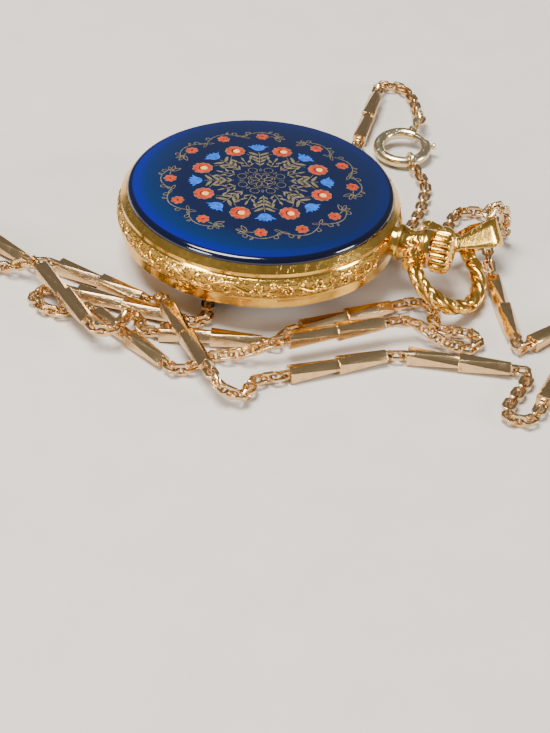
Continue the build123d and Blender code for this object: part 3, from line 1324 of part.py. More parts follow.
def wire_ring(place, way, radius):
    """A ring of round wire whose own axis runs this way."""
    middle = Plane(origin=place, z_dir=way)
    edge = Plane(
        origin=middle.from_local_coords((radius, 0, 0)), x_dir=middle.x_dir, z_dir=-middle.y_dir
    )
    with BuildSketch(edge) as outline:
        RegularPolygon(JUMP_WIRE, 6)
    revolve(outline.sketch, axis=Axis(place, middle.z_dir))


JUMP_PLACE = CLASP_PLANE.from_local_coords(
    (*polar(CLASP_EYE_REACH + JUMP_RADIUS, CLASP_EYE_ANGLE), 0)
)
END_RING_PLACE = CLASP_PLANE.from_local_coords(
    (*polar(RING_MIDDLE + END_RING_RADIUS - RING_TUBE - JUMP_WIRE - PLAY * 2, CLASP_END_ANGLE), 0)
)
with BuildPart() as jump_rings:
    wire_ring(JUMP_PLACE, Vector(*polar(1, CLASP_EYE_ANGLE + 90), 0), JUMP_RADIUS)
    wire_ring(END_RING_PLACE, Vector(*polar(1, CLASP_END_ANGLE + 90), 0), END_RING_RADIUS)
save(jump_rings, "jump_rings")
JUMP_WAY = Vector(*polar(1, CLASP_EYE_ANGLE), 0)
END_WAY = Vector(*polar(1, CLASP_END_ANGLE), 0)
WIRE_SEAT = JUMP_WIRE + LINK_WIRE / 2 + RUNNING_CLEARANCE
JUMP_OUTER = (JUMP_PLACE + JUMP_WAY * (JUMP_RADIUS - WIRE_SEAT), JUMP_WAY)
END_OUTER = (END_RING_PLACE + END_WAY * (END_RING_RADIUS - WIRE_SEAT), END_WAY)

# The way that each run of links takes from one eye to the next
FLAT = LINK_LEVEL
RUNS = {
    "clasp": [
        (JUMP_OUTER, bar_end(BAR_CLASP, 1),
         (-33.6, 7.9, FLAT), (-37.6, 6.2, FLAT), (-39.9, 4.2, FLAT), (-39.0, 1.5, FLAT)),
        (bar_end(BAR_CLASP, -1), bar_end(BAR_UNDER_A, 1)),
        (bar_end(BAR_UNDER_A, -1), bar_end(BAR_UNDER_B, 1),
         (-9.8, -2.8, FLAT), (-12.2, -5.8, FLAT), (-12.0, -8.8, FLAT)),
    ],
    "near": [
        (bar_end(BAR_UNDER_B, -1), bar_end(BAR_THREE, 1),
         (7.0, -2.6, FLAT), (14.2, -0.2, FLAT)),
        (bar_end(BAR_THREE, -1), bar_end(BAR_SIX, -1),
         (14.6, -16.6, FLAT), (17.4, -17.4, FLAT), (18.6, -13.8, FLAT)),
        (bar_end(BAR_SIX, 1), bar_end(BAR_TEN, -1),
         (22.2, 0.7, FLAT), (19.0, 1.6, FLAT), (17.9, 5.0, -0.5)),
        (bar_end(BAR_FOUR, 1), bar_end(BAR_NINE, -1),
         (21.4, -7.6, RAISED), (19.2, -6.6, RAISED), (17.4, -7.2, 0.7), (16.2, -6.7, -0.2),
         (16.9, -5.6, FLAT)),
        (bar_end(BAR_TWO, 1), bar_end(BAR_SEVEN, -1), (12.8, -5.2, 0.4)),
        (bar_end(BAR_TWO, -1), bar_end(BAR_ONE, 1)),
        (bar_end(BAR_NINE, 1), bar_end(BAR_TWELVE, -1)),
        (bar_end(BAR_SEVEN, 1), bar_end(BAR_ELEVEN, -1),
         (24.7, 4.9, 0.3), (23.7, 7.6, -0.6), (20.8, 6.6, FLAT)),
    ],
    "tail": [
        (bar_end(BAR_OUTER, 1), bar_end(BAR_FOUR, -1),
         (13.6, -20.6, -0.3)),
        (bar_end(BAR_OUTER, -1), bar_end(BAR_ONE, -1),
         (12.7, -37.2, FLAT), (8.4, -37.2, FLAT), (6.6, -33.2, FLAT)),
    ],
    "bow": [
        (bar_end(BAR_TEN, 1), bar_end(BAR_TWELVE, 1),
         (7.4, 18.8, 0.3), (8.6, 21.6, -0.5), (8.2, 25.2, FLAT), (5.4, 24.6, FLAT),
         (6.4, 20.4, FLAT), (2.0, 19.2, FLAT)),
        (bar_end(BAR_ELEVEN, 1), bar_end(BAR_THIRTEEN, -1)),
        (bar_end(BAR_THIRTEEN, 1), bar_end(BAR_FIFTEEN, -1),
         (9.4, 30.9, FLAT), (16.6, 29.6, FLAT), (17.2, 32.0, FLAT)),
        (bar_end(BAR_FIFTEEN, 1), bar_end(BAR_FOURTEEN, 1),
         (0.6, 33.8, FLAT), (-2.6, 37.4, FLAT), (-6.6, 36.6, FLAT)),
        (bar_end(BAR_SEVENTEEN, 1), bar_end(BAR_FOURTEEN, -1)),
    ],
    "bail": [
        (END_OUTER, bar_end(BAR_SEVENTEEN, -1),
         (-19.0, 12.9, FLAT), (-13.6, 13.6, FLAT), (-7.6, 13.4, FLAT), (-8.0, 17.0, FLAT),
         (-15.6, 17.2, FLAT), (-16.6, 20.6, FLAT), (-11.9, 23.2, -0.5), (-11.0, 22.9, 4.0),
         (-8.9, 21.3, 4.3), (-7.7, 21.9, 2.0), (-6.6, 22.8, -0.6)),
    ],
}
BARS = {
    "clasp": [BAR_CLASP, BAR_UNDER_A, BAR_UNDER_B],
    "near": [BAR_TWO, BAR_THREE, BAR_FOUR, BAR_SIX, BAR_SEVEN, BAR_NINE],
    "tail": [BAR_ONE, BAR_OUTER],
    "bow": [BAR_TEN, BAR_ELEVEN, BAR_TWELVE, BAR_THIRTEEN, BAR_FOURTEEN, BAR_FIFTEEN,
            BAR_SEVENTEEN],
}
eye_rolls = {}


def remember_roll(end, roll):
    eye_rolls[tuple(round(number, 3) for number in end[0])] = roll


for name, runs in RUNS.items():
    links = []
    for start, end, *waypoints in runs:
        planes, start_roll, end_roll = run(start, end, *waypoints)
        remember_roll(start, start_roll)
        remember_roll(end, end_roll)
        for plane in planes:
            links.append(link.part.solid().moved(plane.location))
    save_group(links, f"chain_links_{name}")

for name, bars in BARS.items():
    whole_bars = []
    for bar in bars:
        with BuildPart() as whole_bar:
            with Locations(bar_plane(bar).location):
                add(bar_body.part)
            for side in (-1, 1):
                place, way = bar_end(bar, side)
                roll = eye_rolls[tuple(round(number, 3) for number in place)]
                with Locations(lie(place, way, roll).location):
                    add(bar_eye.part)
        whole_bars.append(whole_bar.part.solid())
    save_group(whole_bars, f"chain_bars_{name}")

# Screws: three in the bridges, one in the crown wheel, and two that hold the movement in
BRIDGE_SCREWS = [
    (polar(MOVEMENT_RADIUS - BRIDGE_FOOT_WIDTH / 2, 165), BRIDGE_TOP),
    (polar(MOVEMENT_RADIUS - BRIDGE_FOOT_WIDTH / 2, -65), BRIDGE_TOP),
    (polar(MOVEMENT_RADIUS - BRIDGE_FOOT_WIDTH / 2, -135), BRIDGE_TOP),
    (polar(COCK_FOOT_REACH, COCK_ANGLE), BRIDGE_TOP),
    (CROWN_WHEEL_PLACE, WINDING_LEVEL + WINDING_WHEEL_THICKNESS),
]
with BuildPart() as bridge_screws:
    for (x, y), level in BRIDGE_SCREWS:
        with BuildSketch(Plane.XY.offset(level)):
            with Locations((x, y)):
                RegularPolygon(SCREW_RADIUS, ARBOR_SIDES * 2)
                Rectangle(SCREW_RADIUS * 2, SCREW_SLOT, mode=Mode.SUBTRACT)
        extrude(amount=SCREW_HEAD)
        with BuildSketch(Plane.XY.offset(level)):
            with Locations((x, y)):
                RegularPolygon(SCREW_RADIUS, ARBOR_SIDES * 2)
        extrude(amount=SCREW_HEAD / 2)
save(bridge_screws, "bridge_screws")
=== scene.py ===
"""Looks of an enamelled pendant watch: enamel, painted flowers, engraving, bow, clasp and metals."""

import json
import math
from contextlib import contextmanager

import bmesh
import bpy
from mathutils import Matrix, Vector


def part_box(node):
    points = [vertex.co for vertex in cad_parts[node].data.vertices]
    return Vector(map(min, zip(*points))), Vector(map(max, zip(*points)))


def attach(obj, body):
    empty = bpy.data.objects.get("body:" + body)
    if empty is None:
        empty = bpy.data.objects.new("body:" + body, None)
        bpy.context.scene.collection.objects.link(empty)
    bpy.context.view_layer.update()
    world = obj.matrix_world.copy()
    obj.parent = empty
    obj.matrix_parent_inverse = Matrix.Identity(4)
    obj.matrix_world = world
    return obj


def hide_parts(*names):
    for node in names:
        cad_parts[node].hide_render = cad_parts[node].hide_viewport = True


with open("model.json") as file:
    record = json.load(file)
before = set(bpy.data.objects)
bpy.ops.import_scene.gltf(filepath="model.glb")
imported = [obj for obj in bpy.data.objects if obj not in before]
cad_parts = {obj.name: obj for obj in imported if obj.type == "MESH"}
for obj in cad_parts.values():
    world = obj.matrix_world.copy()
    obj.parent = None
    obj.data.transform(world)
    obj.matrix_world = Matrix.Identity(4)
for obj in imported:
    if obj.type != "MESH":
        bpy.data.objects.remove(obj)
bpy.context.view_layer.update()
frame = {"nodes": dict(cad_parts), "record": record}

bl_info = {
    "name": "Enamelled Pendant Watch",
    "version": (1, 0, 0),
    "blender": (4, 5, 0),
    "location": "View3D > Sidebar > Watch",
    "description": "Dresses the packed pendant watch with enamel, engraving and metal finishes",
    "category": "Object",
}

MM = 0.001

# Sizes that the solids already have, in millimetres
STEM_LEVEL = 3.9
BAND_RADIUS = 14.25
BAND_STEP = 14.0
DISC_RADIUS = 13.4
SHOULDER_RADIUS = 12.85
SHOULDER_RISE = 0.6
DOME_RISE = 0.5
PIVOT_REACH = 16.9
PIVOT_HOLE = 0.44
BOW_HALF_WIDTH = 5.1
BOW_LENGTH = 7.4
BOW_CENTRE = BOW_LENGTH * 0.43
BOW_DROOP = math.radians(35)
BAND_WAIST = ((13.6, 1.5), (14.52, 1.5), (14.53, 1.88), (14.8, 1.9), (17.35, 1.95), (17.88, 1.95))
CROWN_START = 18.1
CROWN_RADIUS = 2.15
CROWN_FLUTES = 20
BAIL_LENGTH = 7.6
BAIL_WIDTH = 3.8
BAIL_NARROW = 3.5
BAIL_WALL = 0.34
BAIL_BAND = 2.8
BAIL_BAND_NARROW = 1.2
BAIL_TURN = math.radians(140)
BAIL_LEAN = math.radians(38)
BAIL_STATION = math.radians(178)
BAIL_SETBACK = 2.7
BOW_EYE_START = 2.11
BOW_EYE_END = 3.61
BOW_EYE_RADIUS = 1.05
CLASP_MIDDLE = Vector((-25.2, 8.3, -0.35))
CLASP_TILT = math.radians(8)
RING_MIDDLE = 2.65
RING_TUBE = 0.62
OPENING = (123, 161)
GATE_TUBE = 0.36
GATE = (77, 167)
EYE_ANGLE = math.radians(176)
EYE_REACH = 3.7
MINUTE_RING = 9.1
NUMBER_RING = 7.7
NUMBER_SIZE = 2.1
FLOOR = -1.55

DISC_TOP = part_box("enamel_disc")[1].z / MM
SHOULDER_LEVEL = DISC_TOP - DOME_RISE
LID_TOP = SHOULDER_LEVEL - SHOULDER_RISE


class WatchColours(bpy.types.PropertyGroup):
    """Colours of the enamel and the metals."""

    def shade(name, text, value):
        return bpy.props.FloatVectorProperty(
            name=name, description=text, subtype="COLOR", size=3, min=0, max=1, default=value
        )

    gold: shade("Gold", "Case, crown, bow and bail", (0.90, 0.54, 0.11))
    # Deep gold colours worn patches on polished gold, and it is also the painted shade in the carving's
    # hollows and on the punched ground.
    gold_deep: shade("Deep gold", "Gold in hollows and worn places", (0.52, 0.24, 0.03))
    chain: shade("Chain gold", "Links and bars", (0.74, 0.51, 0.26))
    chain_deep: shade("Deep chain gold", "Dull places on the chain", (0.30, 0.16, 0.06))
    clasp: shade("Clasp gold", "Spring ring and jump rings", (0.80, 0.68, 0.42))
    navy: shade("Navy", "Enamel over most of the back", (0.002, 0.005, 0.028))
    # Royal blue is painted light at the enamel's rim, strongest on the side facing the light.
    royal: shade("Royal blue", "Enamel where light comes through at the rim", (0.001, 0.003, 0.17))
    flower: shade("Flower", "Orange-red petals", (0.56, 0.045, 0.012))
    heart: shade("Heart", "Middles of the flowers", (0.95, 0.50, 0.15))
    tulip: shade("Tulip", "Light blue petals", (0.01, 0.13, 0.66))
    leaf: shade("Leaf", "Bronze leaves and outlines", (0.18, 0.145, 0.075))


class WatchSizes(bpy.types.PropertyGroup):
    """Sizes of the painting and the carving, in millimetres."""

    def length(name, text, value):
        return bpy.props.FloatProperty(name=name, description=text, default=value, min=0.01)

    flower_ring: length("Flower ring", "Radius that the large flowers stand on", 6.3)
    tulip_ring: length("Tulip ring", "Radius that the tulips stand on", 6.9)
    small_ring: length("Small flower ring", "Radius that the small flowers stand on", 9.1)
    line: length("Painted line", "Width of a painted outline", 0.1)
    carving: length("Carving depth", "How far the engraved scrolls stand out", 0.18)
    scrolls: bpy.props.IntProperty(
        name="Scrolls", description="Scroll motifs round the case", default=15, min=4
    )


# Meshes


def alone(item):
    """Makes this object the only one selected."""
    bpy.ops.object.select_all(action="DESELECT")
    item.select_set(True)
    bpy.context.view_layer.objects.active = item
    return item


def as_object(name, mesh):
    item = bpy.data.objects.new(name, mesh)
    bpy.context.scene.collection.objects.link(item)
    return alone(item)


@contextmanager
def editing():
    """Edit mode with everything selected, then back to object mode."""
    bpy.ops.object.mode_set(mode="EDIT")
    bpy.ops.mesh.select_all(action="SELECT")
    yield
    bpy.ops.object.mode_set(mode="OBJECT")


def smooth(item, degrees=35):
    """Smooth faces with crisp edges."""
    alone(item)
    bpy.ops.object.shade_smooth_by_angle(angle=math.radians(degrees))
    return item


def turned(name, profile, steps=120, angle=360, closed=False):
    """A lathe piece from (radius, level) points, spun round Z, in millimetres."""
    mesh = bpy.data.meshes.new(name)
    edges = [(k, k + 1) for k in range(len(profile) - 1)]
    if closed:
        edges.append((len(profile) - 1, 0))
    mesh.from_pydata([(r * MM, 0, z * MM) for r, z in profile], edges, [])
    item = as_object(name, mesh)
    with editing():
        bpy.ops.mesh.spin(
            steps=steps, angle=math.radians(angle), center=(0, 0, 0), axis=(0, 0, 1), use_auto_merge=True
        )
        bpy.ops.mesh.select_all(action="SELECT")
        bpy.ops.mesh.remove_doubles(threshold=0.002 * MM)
        if angle < 360 and closed:
            bpy.ops.mesh.select_all(action="DESELECT")
            bpy.ops.mesh.select_non_manifold()
            bpy.ops.mesh.fill_holes(sides=0)
            bpy.ops.mesh.select_all(action="SELECT")
        bpy.ops.mesh.normals_make_consistent(inside=False)
    return item


def petal(length, width, line=0.0, point=0.0, sides=20):
    """A flat petal along +X from the origin, filled or as an outline, in millimetres."""
    bpy.ops.object.select_all(action="DESELECT")
    bpy.ops.mesh.primitive_circle_add(vertices=sides, radius=MM / 2, fill_type="NGON")
    item = bpy.context.object
    for vertex in item.data.vertices:
        along = vertex.co.x / MM + 0.5
        narrowing = 1 - point * along
        vertex.co = Vector((along * length * MM, vertex.co.y * width * narrowing, 0))
    if line:
        with editing():
            bpy.ops.mesh.inset(thickness=line * MM)
            bpy.ops.mesh.delete(type="FACE")
    mesh = item.data
    bpy.data.objects.remove(item)
    return mesh


def ribbon(points, width):
    """A flat painted line along these points, tapering at its ends, in millimetres."""
    mesh = bpy.data.meshes.new("line")
    places, faces = [], []
    for k, (x, y) in enumerate(points):
        x0, y0 = points[max(k - 1, 0)]
        x1, y1 = points[min(k + 1, len(points) - 1)]
        across = Vector((y0 - y1, x1 - x0, 0)).normalized()
        share = k / (len(points) - 1)
        half = width / 2 * (0.35 + 0.65 * math.sin(math.pi * min(max(share, 0.05), 0.95)) ** 0.5)
        places += [(Vector((x, y, 0)) - across * half) * MM, (Vector((x, y, 0)) + across * half) * MM]
        if k:
            faces.append((2 * k - 2, 2 * k, 2 * k + 1, 2 * k - 1))
    mesh.from_pydata(places, [], faces)
    return mesh


def at(radius, angle, turn=0.0, size=1.0):
    """A place on the disc, with its X pointing outward and then turned, in millimetres."""
    return (
        Matrix.Rotation(math.radians(angle), 4, "Z")
        @ Matrix.Translation((radius * MM, 0, 0))
        @ Matrix.Rotation(math.radians(turn), 4, "Z")
        @ Matrix.Scale(size, 4)
    )


def gathered(name, parts):
    """One object out of many (mesh, place) pairs, each with its own copy of the mesh."""
    everything = bmesh.new()
    for mesh, place in parts:
        copy = mesh.copy()
        copy.transform(place)
        everything.from_mesh(copy)
        bpy.data.meshes.remove(copy)
    mesh = bpy.data.meshes.new(name)
    everything.to_mesh(mesh)
    everything.free()
    return as_object(name, mesh)


def dome_level(radius):
    """Height of the enamel at this distance from its middle, in millimetres."""
    return SHOULDER_LEVEL + DOME_RISE * (1 - min(radius / SHOULDER_RADIUS, 1) ** 2)


def laid_on_dome(item, lift):
    """Puts a flat painted piece on the domed enamel, facing out."""
    for vertex in item.data.vertices:
        radius = math.hypot(vertex.co.x, vertex.co.y) / MM
        vertex.co.z += (dome_level(radius) + lift) * MM
    alone(item)
    with editing():
        bpy.ops.mesh.quads_convert_to_tris()
    for face in item.data.polygons:
        if face.normal.z < 0:
            face.flip()
    item.data.update()
    return item


def finished(item, body, paint):
    """Gives a piece its material and the body that it rides on."""
    item.data.materials.clear()
    item.data.materials.append(paint)
    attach(item, body)
    return item


# Materials


class Wire:
    """A socket whose sums and products are Math nodes."""

    def __init__(self, paint, socket):
        self.paint, self.socket = paint, socket

    def math(self, operation, other=None, swap=False):
        values = [self, other] if not swap else [other, self]
        values = values if other is not None else [self]
        return self.paint.node("ShaderNodeMath", {"operation": operation}, dict(enumerate(values)))

    def __add__(self, other):
        return self.math("ADD", other)

    def __sub__(self, other):
        return self.math("SUBTRACT", other)

    def __mul__(self, other):
        return self.math("MULTIPLY", other)

    def __truediv__(self, other):
        return self.math("DIVIDE", other)

    def __pow__(self, other):
        return self.math("POWER", other)

    def __rsub__(self, other):
        return self.math("SUBTRACT", other, swap=True)

    __radd__, __rmul__ = __add__, __mul__


class Paint:
    """A material built from expressions on object coordinates."""

    def __init__(self, name):
        self.material = bpy.data.materials.new(name)
        self.material.use_nodes = True
        self.tree = self.material.node_tree
        self.shader = self.tree.nodes["Principled BSDF"]
        self.place = self.node("ShaderNodeTexCoord", {}, {}, "Object")

    def node(self, kind, settings, inputs, output=0):
        node = self.tree.nodes.new(kind)
        for key, value in settings.items():
            setattr(node, key, value)
        for key, value in inputs.items():
            self.feed(node.inputs[key], value)
        return Wire(self, node.outputs[output])

    def feed(self, socket, value):
        if isinstance(value, Wire):
            self.tree.links.new(value.socket, socket)
        elif socket.type == "RGBA" and len(value) == 3:
            socket.default_value = (*value, 1)
        else:
            socket.default_value = value

    def scaled(self, across, along=None, up=None):
        """Object coordinates stretched so that features measure these millimetres."""
        sizes = (across, along or across, up or across)
        return self.node(
            "ShaderNodeMapping", {}, {"Vector": self.place, "Scale": [1 / (s * MM) for s in sizes]}
        )

    def noise(self, size, detail=2.0, **stretch):
        vector = self.scaled(size, **stretch)
        return self.node(
            "ShaderNodeTexNoise", {}, {"Vector": vector, "Scale": 1.0, "Detail": detail}, "Fac"
        )

    def cells(self, size):
        vector = self.scaled(size)
        return self.node("ShaderNodeTexVoronoi", {}, {"Vector": vector, "Scale": 1.0}, "Distance")

    def step(self, value, low, high):
        """Rises smoothly from 0 at low to 1 at high."""
        return self.node(
            "ShaderNodeMapRange",
            {"interpolation_type": "SMOOTHSTEP"},
            {"Value": value, "From Min": low, "From Max": high},
        )

    def blend(self, share, low, high):
        return self.node("ShaderNodeMix", {"data_type": "RGBA"}, {0: share, 6: low, 7: high}, 2)

    def bump(self, height, distance):
        """A bump whose full height is this many millimetres."""
        inputs = {"Height": height, "Distance": distance * MM, "Strength": 1.0}
        return self.node("ShaderNodeBump", {}, inputs)

    def coordinates(self):
        node = self.node("ShaderNodeSeparateXYZ", {}, {"Vector": self.place})
        outputs = node.socket.node.outputs
        return [Wire(self, outputs[k]) for k in range(3)]

    def attribute(self, name):
        return self.node("ShaderNodeAttribute", {"attribute_name": name}, {}, "Fac")

    def sheen(self, **inputs):
        for key, value in inputs.items():
            self.feed(self.shader.inputs[key.replace("_", " ")], value)
        return self.material


def gold_finish(name, bright, deep, rough=0.12):
    """Polished gold with a few fine scratches and deeper colour in patches."""
    paint = Paint(name)
    patches = paint.step(paint.noise(2.2, 3.0), 0.45, 0.85)
    wear = paint.noise(0.35, 4.0)
    scratches = paint.step(paint.noise(0.9, 2.0, along=0.03), 0.62, 0.7)
    return paint.sheen(
        Metallic=1.0,
        Base_Color=paint.blend(patches * 0.5, bright, deep),
        Roughness=paint.step(wear, 0.3, 0.9) * 0.10 + rough + scratches * 0.05,
        Normal=paint.bump(scratches, 0.004),
    )


def carved_finish(name, bright, deep):
    """Engraved gold with painted shade: dark in its hollows and bright on its ridges, from its own relief.
    """
    paint = Paint(name)
    relief = paint.attribute("relief")
    wear = paint.noise(0.22, 4.0)
    # Painted shade: the low places of the relief are darkened toward deep gold.
    hollow_shade = 1 - paint.step(relief, 0.15, 0.6)
    return paint.sheen(
        Metallic=1.0,
        Base_Color=paint.blend(hollow_shade * 0.9, bright, (deep[0] * 0.35, deep[1] * 0.3, deep[2] * 0.3)),
        Roughness=hollow_shade * 0.25 + 0.11 + wear * 0.08,
        Normal=paint.bump(wear, 0.02),
    )


def punched_finish(name, bright, deep):
    """The ground behind the engraving: fine punch marks, duller, and darker with painted shade, darkest in
    the punch pits.
    """
    paint = Paint(name)
    z = paint.coordinates()[2]
    punches = paint.step(paint.cells(0.22), 0.1, 0.55)
    off_middle = paint.step(((z / MM) - STEM_LEVEL).math("ABSOLUTE"), 0.95, 1.05)
    # Painted shade: the engraved middle of the band is darker than plain gold, darkest at the centre of each
    # punch.
    shade = paint.blend(punches, [c * 0.2 for c in deep], [c * 0.55 for c in bright])
    return paint.sheen(
        Metallic=1.0,
        Base_Color=paint.blend(off_middle, shade, bright),
        Roughness=(1 - off_middle) * 0.16 + 0.12,
        Normal=paint.bump(punches * (1 - off_middle), 0.05),
    )


def enamel_finish(name, navy, royal):
    """Deep glassy blue with painted light: it brightens toward the rim, most on the side facing the light,
    and turns near black at the steep edge.
    """
    paint = Paint(name)
    x, y = paint.coordinates()[:2]
    radius = (x * x + y * y) ** 0.5 / MM
    # Painted light: the masks below brighten the enamel toward the side facing the light.
    side = (x * 0.80 - y * 0.60) / MM / DISC_RADIUS
    near = paint.step(side, -0.3, 1.0)
    ring = paint.step(radius, 8.0, 11.4)
    edge = paint.step(radius, 11.2, 12.7)
    bevel = paint.step(radius, 12.75, 12.95)
    cloud = paint.noise(1.8, 3.0)
    # A lighter band round the painting, faint all round and stronger on the side facing the light as painted
    # light.
    field = paint.blend(ring * (near * 0.6 + 0.2) + cloud * 0.1, navy, (0.0, 0.016, 0.075))
    # Painted glow: royal blue at the rim, mostly on the side facing the light.
    painted_glow = paint.blend(edge * (near * 0.75 + 0.15), field, royal)
    return paint.sheen(
        Base_Color=paint.blend(bevel * 0.95, painted_glow, (0.001, 0.002, 0.008)),
        Roughness=cloud * 0.03 + 0.08,
        Normal=paint.bump(paint.noise(5.0, 1.0), 0.01),
        IOR=1.5,
        Coat_Weight=0.25,
        Coat_Roughness=0.02,
    )


def painted_finish(name, colour, shade, size=0.25):
    """Brushed-on enamel paint, a little uneven, under the same glassy coat."""
    paint = Paint(name)
    strokes = paint.noise(size, 3.0, along=size * 2)
    return paint.sheen(
        Base_Color=paint.blend(paint.step(strokes, 0.3, 0.75), shade, colour),
        Roughness=strokes * 0.15 + 0.28,
        Coat_Weight=0.15,
        Coat_Roughness=0.08,
    )


def facet_finish(name, bright, deep):
    """Diamond-cut chain gold: mirror facets with hairline tool marks and dull patches."""
    paint = Paint(name)
    marks = paint.noise(1.4, 3.0, up=0.05)
    dull = paint.step(paint.noise(0.8, 4.0), 0.5, 0.8)
    return paint.sheen(
        Metallic=1.0,
        Base_Color=paint.blend(dull * 0.6, bright, deep),
        Roughness=dull * 0.14 + 0.15 + marks * 0.06,
        Normal=paint.bump(marks, 0.012),
    )


def steel_finish(name, colour, rough=0.28):
    paint = Paint(name)
    grain = paint.noise(1.2, 2.0, along=0.04)
    return paint.sheen(
        Metallic=1.0,
        Base_Color=paint.blend(grain, [c * 0.8 for c in colour], colour),
        Roughness=grain * 0.15 + rough,
        Normal=paint.bump(grain, 0.01),
    )


def gilt_finish(name, colour):
    """Gilt movement brass with rings of circular graining."""
    paint = Paint(name)
    rings = (paint.cells(1.1) * 60.0).math("SINE") * 0.5 + 0.5
    return paint.sheen(
        Metallic=1.0,
        Base_Color=paint.blend(rings * 0.5, colour, [c * 0.75 for c in colour]),
        Roughness=rings * 0.1 + 0.25,
        Normal=paint.bump(rings, 0.008),
    )


def dial_finish(name):
    paint = Paint(name)
    cloud = paint.noise(1.5, 3.0)
    return paint.sheen(
        Base_Color=paint.blend(cloud, (0.88, 0.87, 0.82), (0.93, 0.92, 0.89)),
        Roughness=cloud * 0.1 + 0.12,
        Coat_Weight=0.6,
    )


def crystal_finish(name):
    paint = Paint(name)
    haze = paint.noise(2.5, 3.0)
    return paint.sheen(
        Base_Color=(0.97, 0.98, 0.98),
        Roughness=haze * 0.03,
        IOR=1.5,
        Transmission_Weight=1.0,
    )


def stage_finish(name):
    paint = Paint(name)
    cloud = paint.noise(6.0, 3.0)
    return paint.sheen(
        Base_Color=paint.blend(cloud, (0.58, 0.53, 0.48), (0.64, 0.59, 0.54)),
        Roughness=0.75 + cloud * 0.1,
        Normal=paint.bump(paint.noise(0.5, 4.0), 0.03),
    )


PAINTS = {}


def paints(colours):
    """All finishes, made once."""
    if not PAINTS:
        PAINTS.update(
            gold=gold_finish("Polished gold", colours.gold, colours.gold_deep),
            # Carved gold and punched gold have painted shade in their colour.
            carved=carved_finish("Carved gold with painted shade", colours.gold, colours.gold_deep),
            punched=punched_finish("Punched gold with painted shade", colours.gold, colours.gold_deep),
            chain=facet_finish("Diamond-cut chain gold", colours.chain, colours.chain_deep),
            clasp=gold_finish("Pale clasp gold", colours.clasp, colours.chain_deep, 0.18),
            # The blue enamel has painted light in its colour.
            enamel=enamel_finish("Blue enamel with painted light", colours.navy, colours.royal),
            flower=painted_finish("Orange paint", colours.flower, [c * 0.45 for c in colours.flower]),
            heart=painted_finish("Cream paint", colours.heart, [c * 0.7 for c in colours.heart]),
            tulip=painted_finish("Light blue paint", colours.tulip, [c * 0.5 for c in colours.tulip]),
            leaf=painted_finish("Bronze paint", colours.leaf, [c * 0.5 for c in colours.leaf]),
            dark=painted_finish("Dark paint", (0.02, 0.01, 0.01), (0.06, 0.01, 0.01)),
            steel=steel_finish("Brushed steel", (0.60, 0.60, 0.62)),
            blued=steel_finish("Blued steel", (0.04, 0.06, 0.28), 0.2),
            spring=steel_finish("Spring steel", (0.42, 0.43, 0.47), 0.16),
            gilt=gilt_finish("Gilt brass", (0.80, 0.55, 0.22)),
            dial=dial_finish("White dial enamel"),
            print=painted_finish("Dial print", (0.02, 0.02, 0.03), (0.01, 0.01, 0.015)),
            crystal=crystal_finish("Crystal glass"),
        )
    return PAINTS


class WatchOperator:
    """What all the operators share."""

    bl_options = {"REGISTER", "UNDO"}

    @property
    def sizes(self):
        return bpy.context.scene.watch_sizes

    @property
    def paints(self):
        return paints(bpy.context.scene.watch_colours)


class WATCH_OT_enamel(WatchOperator, bpy.types.Operator):
    """Spins the domed enamel disc with its steep dark edge"""

    bl_idname = "watch.enamel"
    bl_label = "Enamel Disc"

    def execute(self, context):
        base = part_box("enamel_disc")[0].z / MM
        profile = [(0.0, base), (DISC_RADIUS, base), (DISC_RADIUS, LID_TOP)]
        for k in range(7):
            turn = math.radians(90 * k / 6)
            run, rise = DISC_RADIUS - SHOULDER_RADIUS, SHOULDER_RISE
            profile.append((SHOULDER_RADIUS + run * math.cos(turn), LID_TOP + rise * math.sin(turn)))
        for k in range(1, 15):
            radius = SHOULDER_RADIUS * (1 - k / 14)
            profile.append((radius, dome_level(radius)))
        disc = smooth(turned("enamel_dome", profile, 160), 50)
        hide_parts("enamel_disc")
        finished(disc, "watch", self.paints["enamel"])
        return {"FINISHED"}


def polar(radius, turn):
    """The point at this radius and angle round the middle."""
    return radius * math.cos(turn), radius * math.sin(turn)


def star(lobes, radius, depth, sides=6):
    """A scalloped disc, in millimetres."""
    mesh = bpy.data.meshes.new("scalloped disc")
    places = []
    for k in range(lobes * sides):
        turn = 2 * math.pi * k / (lobes * sides)
        reach = radius - depth * (1 - abs(math.cos(lobes * turn / 2)))
        x, y = polar(reach, turn)
        places.append((x * MM, y * MM, 0))
    mesh.from_pydata(places, [], [tuple(range(len(places)))])
    return mesh


TULIP_EDGE = (
    (0.0, 0.0), (0.06, 0.3), (0.3, 0.56), (0.62, 0.7), (0.98, 1.12), (0.98, 0.66),
    (1.3, 0.56), (1.12, 0.3), (1.42, 0.17), (1.22, 0.0),
)


def tulip_shape():
    """A tulip seen from the side, opening along +X, in millimetres."""
    half = list(TULIP_EDGE)
    edge = half + [(x, -y) for x, y in reversed(half[1:-1])]
    mesh = bpy.data.meshes.new("tulip")
    mesh.from_pydata([(x * MM, -y * MM, 0) for x, y in edge], [], [tuple(range(len(edge)))])
    return mesh


def arc(start, stop, radius, wave=0.0, waves=1.0, steps=18):
    """Points on a wavy arc round the middle of the disc, in degrees and millimetres."""
    points = []
    for k in range(steps + 1):
        share = k / steps
        turn = math.radians(start + (stop - start) * share)
        reach = radius + wave * math.sin(math.pi * waves * share)
        points.append(polar(reach, turn))
    return points


def curl(size, side, turns=0.9):
    """Points of a small tendril that winds up on one side, in millimetres."""
    points = []
    for k in range(16):
        bend = 2 * math.pi * turns * k / 15
        reach = size * (1 - 0.62 * k / 15)
        points.append((reach * math.sin(bend), side * (size - reach * math.cos(bend))))
    return points


